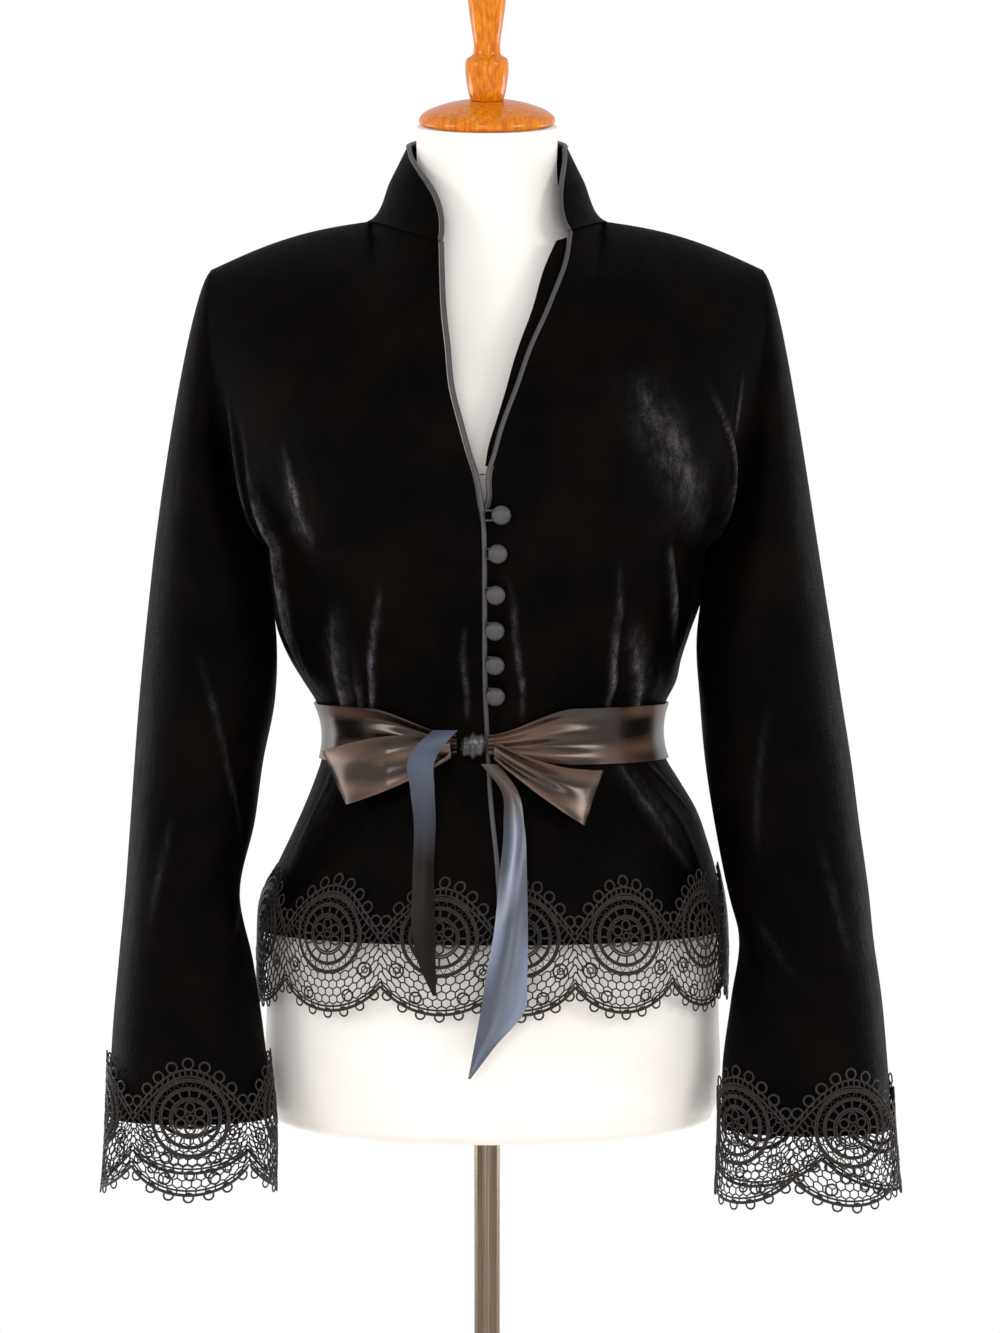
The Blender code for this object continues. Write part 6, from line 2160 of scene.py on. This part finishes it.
    def net(self) -> list[Strand]:
        """Honeycomb net: zigzag courses that follow the scallop, and ribs between corners that face.

        Returns:
            Its cords.
        """
        half = self.width / 2
        columns = round(self.width / self.mesh_width)
        pitch = self.width / columns
        corners = np.concatenate([[-half], (0.5 * np.arange(2 * columns) + 0.25) * pitch - half, [half]])
        along = np.linspace(-half, half, 8 * columns + 1)
        strands = []
        for course in range(int((self.peak_rise + self.scallop_drop) / self.course)):
            swing = np.where(np.arange(2 * columns) % 2 == course % 2, -self.zigzag, self.zigzag)
            zigzag = np.interp(along, corners, np.concatenate([[0.0], swing, [0.0]]))
            rise = self.lower(along) + (course + 1) * self.course + zigzag
            kept = self.inside(along, rise)
            cuts = np.flatnonzero(np.diff(kept.astype(int))) + 1
            for run in np.split(np.arange(len(along)), cuts):
                if kept[run[0]] and len(run) > 1:
                    strands.append(Strand(stacked(along[run], rise[run]), self.thin, False, 0.0))
            spots = (np.arange(columns) + 0.5 * (course % 2) + 0.25) * pitch - half
            foot = self.lower(spots) + course * self.course
            for spot, low in zip(spots, foot):
                foot_rise = low + (self.zigzag if course else 0.0)
                head_rise = low + self.course - self.zigzag
                ends = np.array([[spot, foot_rise], [spot, 0.5 * (foot_rise + head_rise)], [spot, head_rise]])
                if self.inside(ends[:, 0], ends[:, 1])[1:].all():
                    strands.append(Strand(ends, self.thin, False, 0.0))
        return strands

    def strands(self) -> list[Strand]:
        """All cords of one repeat."""
        return self.medallion() + self.borders() + self.net()


def swept_strand(strand: Strand, half_thickness: float) -> tuple[Array, Array]:
    """Four-sided cord along a flat strand, closed at its ends.

    Args:
        strand: the strand.
        half_thickness: half its thickness out of the flat.
    Returns:
        Vertices (along, up, out) and the vertex numbers of its faces.
    """
    points = strand.points
    if strand.closed:
        ahead = np.roll(points, -1, axis=0) - np.roll(points, 1, axis=0)
    else:
        ahead = np.gradient(points, axis=0)
    ahead = unit(ahead)
    aside = stacked(-ahead[:, 1], ahead[:, 0])
    turn = np.arange(4) * math.pi / 2
    flat = points[:, None] + strand.half_width * np.cos(turn)[None, :, None] * aside[:, None]
    out = np.broadcast_to(strand.stand + half_thickness * np.sin(turn), flat.shape[:2])
    vertices = np.concatenate([flat, out[..., None]], axis=-1).reshape(-1, 3)
    count = len(points)
    index = numbers_of(count, 4, True)
    if strand.closed:
        index = np.concatenate([index, index[:1]])
    quads = stacked(index[:-1, :-1], index[1:, :-1], index[1:, 1:], index[:-1, 1:]).reshape(-1, 4)
    if not strand.closed:
        ends = np.array([[0, 1, 2, 3], np.arange(4)[::-1] + 4 * (count - 1)])
        quads = np.concatenate([quads, ends])
    return vertices, quads


class LaceEdge(NamedTuple):
    """An edge that lace hangs on: the way round by length along it, and its surface by way, rise and lift."""

    lengths: Array
    ways: Array
    surface: Callable[[Array, Array, Array], Array]
    lift: float


class LaceStrip(NamedTuple):
    """A strip of lace: its node, its repeats, where they start and end along the edge, what is cut off."""

    node: str
    repeats: int
    start: float
    end: float
    cut: float


@dataclass(frozen=True)
class LaceMaker:
    """Lays repeats of lace on a surface."""

    half_thickness: float = 0.00062
    samples: int = 60
    sharp: float = 180.0

    def build(self, wardrobe: Wardrobe, strip: LaceStrip, edge: LaceEdge) -> None:
        """Make and dress a strip of lace; cords that reach over its cut edge end there.

        Args:
            wardrobe: the finishes.
            strip: the strip.
            edge: the edge it hangs on.
        """
        width = (strip.end - strip.start) / strip.repeats
        pattern = LacePattern(width)
        cords = [swept_strand(strand, self.half_thickness) for strand in pattern.strands()]
        vertices = []
        faces = []
        offset = 0
        for repeat in range(strip.repeats):
            shift = np.array([(repeat + 0.5) * width, 0.0, 0.0])
            for points, quads in cords:
                if points[:, 0].max() + shift[0] > strip.cut:
                    vertices.append(points + shift)
                    faces.append(quads + offset)
                    offset += len(points)
        flat = np.concatenate(vertices)
        flat[:, 0] = np.clip(flat[:, 0], strip.cut, strip.repeats * width)
        ways = np.interp(strip.start + flat[:, 0], edge.lengths, edge.ways)
        placed = edge.surface(ways, flat[:, 1], edge.lift + flat[:, 2])
        every = np.concatenate(faces).tolist()
        piece = add_mesh("threads_" + strip.node, placed, every, flat[:, :2], self.sharp)
        along = np.linspace(-width / 2, width / 2, self.samples)
        tall = pattern.upper(along) - pattern.lower(along)
        long = strip.repeats * width - strip.cut
        sheet = FlatCut(long, float(tall.max()), float(long * tall.mean()))
        wardrobe.dress(piece, "lace", [strip.node], sheet)


@dataclass(frozen=True)
class HemLace:
    """Three strips of lace round the hem, left front, back and right front, that meet at the closure."""

    body: JacketBody
    lift: float = 0.0023
    left_repeats: int = 4
    back_repeats: int = 6
    right_repeats: int = 3
    left_width: float = 0.075
    left_cut: float = 0.025
    left_cut_gap: float = 0.0016
    closure_gap: float = 0.0006
    seam: float = 0.0004
    piping_radius: float = 0.0018
    half_width: float = 0.1678
    lean: float = 0.004
    run_over: float = 0.2
    samples: int = 2201

    def surface(self, walk: Array, rise: Array, lift: Array) -> Array:
        """Point of the cloth near the hem: walk 0 front middle, 1 left side, 2 back middle, 3 right side.

        Args:
            walk: way round the hem.
            rise: height above the velvet edge.
            lift: how far off the cloth.
        Returns:
            Points in metres.
        """
        height = self.body.hem_height + rise
        level = self.body.level_of(height)
        behind = (walk > 1) & (walk < 3)
        across = np.where(walk <= 1, walk, np.where(walk < 3, 2 - walk, walk - 4))
        back, left, right = (
            crease_stand(creases, across, height) for creases in (BACK_CREASES, LEFT_CREASES, RIGHT_CREASES)
        )
        stand = lift + np.where(behind, back, np.where(across > 0, left, right))
        fronts, backs = (
            self.body.point(across, level, face) + self.body.normal(across, level, face) * stand[..., None]
            for face in Face
        )
        return np.where(behind[..., None], backs, fronts)

    def build(self, wardrobe: Wardrobe, maker: LaceMaker) -> None:
        """Make and dress the three strips.

        Args:
            wardrobe: the finishes.
            maker: maker of lace.
        """
        walk = np.linspace(-self.run_over, 4 + self.run_over, self.samples)
        length = lengths_along(self.surface(walk, np.zeros_like(walk), np.zeros_like(walk)))
        closure = float(follow(EDGE_ROWS, "height", "right_front", self.body.hem_height)) + self.piping_radius
        start = 2 / math.pi * math.asin((closure - self.lean) / self.half_width)
        begin = float(np.interp(start, walk, length)) + self.closure_gap / 2
        finish = float(np.interp(start + 4, walk, length)) - self.closure_gap / 2
        left_start = begin + self.left_cut_gap - self.left_cut
        left_end = left_start + self.left_repeats * self.left_width
        right_start = float(np.interp(3, walk, length))
        strips = (
            LaceStrip("hem_lace_left", self.left_repeats, left_start, left_end, self.left_cut),
            LaceStrip("hem_lace_back", self.back_repeats, left_end + self.seam, right_start - self.seam, 0.0),
            LaceStrip("hem_lace_right", self.right_repeats, right_start, finish, 0.0),
        )
        for strip in strips:
            maker.build(wardrobe, strip, LaceEdge(length, walk, self.surface, self.lift))


@dataclass(frozen=True)
class CuffLace:
    """Front and back strip of lace round one cuff."""

    sleeve: Sleeve
    join_turn: float
    lift: float = 0.0028
    repeats: int = 2
    seam: float = 0.0004
    samples: int = 1201

    def build(self, wardrobe: Wardrobe, maker: LaceMaker) -> None:
        """Make and dress the two strips.

        Args:
            wardrobe: the finishes.
            maker: maker of lace.
        """
        turn = np.linspace(-0.5 * math.pi, 2.5 * math.pi, self.samples)
        length = lengths_along(self.sleeve.section(turn, np.full_like(turn, self.sleeve.cuff_height)))
        begin = float(np.interp(self.join_turn, turn, length))
        finish = float(np.interp(self.join_turn + 2 * math.pi, turn, length))
        middle = 0.5 * (begin + finish - self.seam)
        prefix = "cuff_lace_" + self.sleeve.side.name.lower()
        strips = (
            LaceStrip(prefix + "_front", self.repeats, begin, middle - 0.5 * self.seam, 0.0),
            LaceStrip(prefix + "_back", self.repeats, middle + 0.5 * self.seam, finish - self.seam, 0.0),
        )
        for strip in strips:
            maker.build(wardrobe, strip, LaceEdge(length, turn, self.sleeve.on_cuff, self.lift))


# Dress form and stand


class FormRow(NamedTuple):
    """Section of the dress form: half width, depths before and behind, sideways lean."""

    height: float
    half_width: float
    front: float
    back: float
    lean: float


FORM_ROWS = table(
    FormRow,
    (0.769, 0.14, 0.098, 0.096, 0.004),
    (0.7725, 0.1515, 0.107, 0.105, 0.004),
    (0.782, 0.1595, 0.113, 0.1105, 0.004),
    (0.8, 0.1632, 0.1165, 0.1135, 0.004),
    (0.85, 0.1632, 0.117, 0.114, 0.004),
    (0.906, 0.161, 0.115, 0.113, 0.004),
    (0.948, 0.153, 0.1105, 0.108, 0.005),
    (0.99, 0.1365, 0.0995, 0.093, 0.008),
    (1.028, 0.119, 0.0895, 0.08, 0.006),
    (1.055, 0.1135, 0.086, 0.076, 0.004),
    (1.085, 0.1215, 0.0915, 0.0795, 0.001),
    (1.124, 0.139, 0.105, 0.0875, 0.0),
    (1.174, 0.148, 0.1185, 0.094, 0.0),
    (1.23, 0.15, 0.113, 0.0965, 0.0),
    (1.29, 0.153, 0.096, 0.095, 0.0),
    (1.335, 0.152, 0.079, 0.088, 0.0),
    (1.36, 0.143, 0.068, 0.08, 0.0),
    (1.378, 0.12, 0.06, 0.072, 0.0),
    (1.392, 0.092, 0.054, 0.066, 0.0),
    (1.408, 0.068, 0.048, 0.062, 0.0),
    (1.435, 0.054, 0.042, 0.061, 0.0),
    (1.49, 0.0505, 0.0405, 0.0605, 0.0),
)
CAP_ROWS = table(
    ProfileRow,
    (0.047, 0.0004),
    (0.0488, 0.002),
    (0.0488, 0.0052),
    (0.0455, 0.0088),
    (0.036, 0.0132),
    (0.024, 0.0166),
    (0.015, 0.018),
)
FINIAL_ROWS = table(
    ProfileRow,
    (0.012, 0.0184),
    (0.0132, 0.023),
    (0.0148, 0.032),
    (0.0155, 0.0415),
    (0.0146, 0.0475),
    (0.01, 0.051),
    (0.0094, 0.055),
    (0.0108, 0.068),
    (0.0128, 0.082),
    (0.014, 0.096),
    (0.0138, 0.11),
    (0.0112, 0.122),
    (0.006, 0.129),
)
BASE_ROWS = table(
    ProfileRow,
    (0.17, 0.0),
    (0.17, 0.008),
    (0.166, 0.012),
    (0.02, 0.014),
    (0.018, 0.04),
    (0.016, 0.042),
)


@dataclass(frozen=True)
class DressForm:
    """Jersey-covered torso and neck on a steel pole, with a turned wooden cap and finial."""

    sides: int = 96
    rows: int = 150
    foot_rows: int = 17
    neck_depth: float = 0.010
    neck_height: float = 1.490
    neck_tilt: float = math.radians(12.0)
    tilt_start: float = 1.430
    turned_sides: int = 64
    pole_radius: float = 0.0092
    pole_foot: float = 0.0424
    pole_head: float = 0.7686
    pole_rings: int = 24
    cap_rings: int = 40
    finial_rings: int = 90
    plate_edge: float = 1e-4
    plate_sharp: float = 30.0

    def torso(self) -> Array:
        """Rings of the form: two half ellipses at each height, the neck's top cut on a tilt.

        Returns:
            Points by ring and side.
        """
        turn = even_turns(self.sides)[None, :]
        low = np.linspace(FORM_ROWS[0].height, FORM_ROWS[3].height, self.foot_rows + 1)[:-1]
        high = np.linspace(FORM_ROWS[3].height, FORM_ROWS[-1].height, self.rows)
        height = np.concatenate([low, high])[:, None]
        half_width, front, back, lean = follow_each(FORM_ROWS, "height", height, *FormRow._fields[1:])
        x = lean + half_width * np.sin(turn)
        y = np.where(np.cos(turn) > 0, -front, -back) * np.cos(turn)
        tilt = self.neck_tilt * ease((height - self.tilt_start) / (self.neck_height - self.tilt_start))
        return stacked(x, y, height + (y - self.neck_depth) * np.tan(tilt))

    def turned(self, profile: Array, place: tuple[float, float, float], tilt: float) -> Array:
        """Rings of a turned piece that leans forwards about its place.

        Args:
            profile: radius and height of each ring.
            place: where its height is measured from.
            tilt: lean in radians.
        Returns:
            Points by ring and side.
        """
        turn = even_turns(self.turned_sides)[None, :]
        x = profile[:, :1] * np.cos(turn)
        y = profile[:, :1] * np.sin(turn)
        z = np.broadcast_to(profile[:, 1:], x.shape)
        leaned = stacked(x, y * math.cos(tilt) - z * math.sin(tilt), y * math.sin(tilt) + z * math.cos(tilt))
        return leaned + np.array(place)

    def build(self, wardrobe: Wardrobe) -> None:
        """Make and dress the form and its stand.

        Args:
            wardrobe: the finishes.
        """
        wardrobe.dress(add_rings("form_torso", self.torso()), "jersey", ["dress_form"])
        neck = (0.0, self.neck_depth, self.neck_height)
        turned = (("neck_cap", CAP_ROWS, self.cap_rings), ("finial", FINIAL_ROWS, self.finial_rings))
        for name, rows, count in turned:
            rings = self.turned(smooth_profile(rows, count), neck, self.neck_tilt)
            wardrobe.dress(add_rings("turned_" + name, rings), "amber_wood", [name])
        floor = (0.0, 0.0, 0.0)
        heights = np.linspace(self.pole_foot, self.pole_head, self.pole_rings)
        pole = stacked(np.full(len(heights), self.pole_radius), heights)
        wardrobe.dress(add_rings("drawn_pole", self.turned(pole, floor, 0.0)), "steel", ["pole"])
        plate = np.repeat(np.array(BASE_ROWS), 2, axis=0)
        plate[1::2] += self.plate_edge * unit(np.roll(plate, -1, axis=0)[1::2] - plate[1::2])
        rings = self.turned(plate[:-1], floor, 0.0)
        wardrobe.dress(add_rings("pressed_base", rings, self.plate_sharp), "steel", ["base"])


# Studio


@dataclass(frozen=True)
class Studio:
    """Plain pale floor, soft white light all round with seven soft lamps, and the camera."""

    picture_height: int = 1333
    metres_per_pixel: float = 0.00072
    distance: float = 3.0
    camera_x: float = 0.00936
    camera_height: float = 1.2062
    aim_height: float = 1.10076
    sensor: float = 36.0
    floor_size: float = 6.0
    floor_colour: str = "#f4f2ef"
    fill_strength: float = 0.80

    def floor(self) -> None:
        """The floor."""
        half = self.floor_size / 2
        corners = np.array([[-half, -half, 0.0], [half, -half, 0.0], [half, half, 0.0], [-half, half, 0.0]])
        mesh = bpy.data.meshes.new("floor")
        mesh.from_pydata(corners.tolist(), [], [[0, 1, 2, 3]])
        recipe = Recipe("floor", {"Base Color": colour_of(self.floor_colour), "Roughness": 0.8})
        mesh.materials.append(recipe.material)
        piece = add_object("floor", mesh)

    def lamp(self, name: str, place: tuple, aim_height: float, size: float, power: float) -> None:
        """A square soft lamp.

        Args:
            name: its name.
            place: where it stands.
            aim_height: the height on the middle line that it points at.
            size: its side.
            power: its power in watts.
        """
        data = bpy.data.lights.new(name, "AREA")
        data.size = size
        data.energy = power
        lamp = add_object(name, data)
        lamp.location = place
        away = np.array((0.0, 0.0, aim_height)) - np.array(place)
        tilt = math.acos(-away[2] / np.linalg.norm(away))
        lamp.rotation_euler = (tilt, 0.0, math.atan2(away[1], away[0]) - math.pi / 2)

    def camera(self) -> None:
        """The camera, at the photograph's viewing angle."""
        data = bpy.data.cameras.new("camera")
        data.sensor_fit = "VERTICAL"
        data.sensor_height = self.sensor
        data.lens = self.sensor * self.distance / (self.picture_height * self.metres_per_pixel)
        camera = add_object("camera", data)
        camera.location = (self.camera_x, -self.distance, self.camera_height)
        fall = math.atan2(self.camera_height - self.aim_height, self.distance)
        camera.rotation_euler = (math.pi / 2 - fall, 0.0, 0.0)
        bpy.context.scene.camera = camera

    def build(self) -> None:
        """Set up the floor, light and camera."""
        self.floor()
        world = bpy.data.worlds.new("studio")
        world.use_nodes = True
        tree = world.node_tree
        seen = add_node(tree, "ShaderNodeLightPath", {}, {}).outputs["Is Camera Ray"]
        settings = {"To Min": self.fill_strength, "To Max": 1.0}
        mixed = add_node(tree, "ShaderNodeMapRange", settings, {"Value": seen})
        shade = tree.nodes["Background"]
        shade.inputs["Color"].default_value = (1.0, 1.0, 1.0, 1.0)
        tree.links.new(mixed.outputs["Result"], shade.inputs["Strength"])
        bpy.context.scene.world = world
        bpy.context.scene.view_settings.view_transform = "Standard"
        self.lamp("left_lamp", (-2.4, -1.2, 1.7), 1.1, 0.8, 16.0)
        self.lamp("right_lamp", (2.2, -1.7, 1.9), 1.1, 0.8, 22.0)
        self.lamp("front_lamp", (-0.5, -3.2, 2.2), 1.1, 0.9, 18.0)
        self.lamp("left_low_lamp", (-0.8, -3.0, 0.7), 0.9, 0.8, 7.0)
        self.lamp("right_low_lamp", (0.8, -3.0, 0.7), 0.9, 0.8, 7.0)
        self.lamp("left_rim_lamp", (-1.6, 0.8, 0.9), 0.9, 0.8, 16.0)
        self.lamp("right_rim_lamp", (1.6, 0.8, 0.9), 0.9, 0.8, 16.0)
        self.camera()


def main() -> None:
    """Build the jacket, its ribbon and lace, the form and the studio, in that order."""
    logging.basicConfig(level=logging.INFO, format="%(name)s %(message)s")
    wardrobe = Wardrobe((
        Velvet(),
        # The ribbon's satin and the knot's copy of it: their pale bands are painted highlights, tan on the
        # ribbon and bluish grey on the knot.
        Satin("satin", "#120b08", "#0e0806", 0.24, 0.70, "#f2ddd0", pale="#533f34"),
        Satin("knot_satin", "#15100e", "#100c0a", 0.24, 0.60, pale="#3d373a"),
        # The wearer's right tail: a darker, duller copy of the ribbon's satin as painted shade, with faint
        # painted highlight bands and a bluish painted highlight at its top.
        Satin("reverse_satin", "#160f0c", "#120d0a", 0.5, 0.12, pale="#211915", upper="#4a4f5d"),
        # The wearer's left tail: the same dark ribbon, coloured bluish grey as a painted reflection, with
        # paler painted highlight bands and the ribbon's brown at its top.
        Satin(
            "slate_satin", "#414756", "#393f4c", 0.28, 0.60,
            pale="#6e7589", upper="#3a2d26", turn_low=0.992, turn_high=1.014,
        ),
        Satin("charcoal_satin", "#454244", "#3b373a", 0.42, 0.35),
        LaceThread(),
        Jersey(),
        LacqueredWood(),
        Steel("steel", "#827365", "#625749", 0.30),
        Steel("wire", "#4c4845", "#363330", 0.38),
    ), {"knot_satin": "satin", "reverse_satin": "satin"})
    body = JacketBody()
    piping = Piping()
    Panels(body).build(wardrobe, piping)
    sleeves = (
        Sleeve(body, Side.RIGHT, RIGHT_SLEEVE_ROWS, RIGHT_SLEEVE_CREASES, 0.7850),
        Sleeve(body, Side.LEFT, LEFT_SLEEVE_ROWS, LEFT_SLEEVE_CREASES, 0.7765),
    )
    joins = (-0.245 * math.pi, 0.09 * math.pi)
    maker = LaceMaker()
    for sleeve, join in zip(sleeves, joins):
        sleeve.build(wardrobe)
        CuffLace(sleeve, join).build(wardrobe, maker)
    Collar(body).build(wardrobe, piping)
    Fastenings(body).build(wardrobe)
    wardrobe.paint("hook_bar", "wire")
    RibbonBelt(body).build(wardrobe)
    HemLace(body).build(wardrobe, maker)
    DressForm().build(wardrobe)
    Studio().build()


if __name__ == "__main__":
    main()
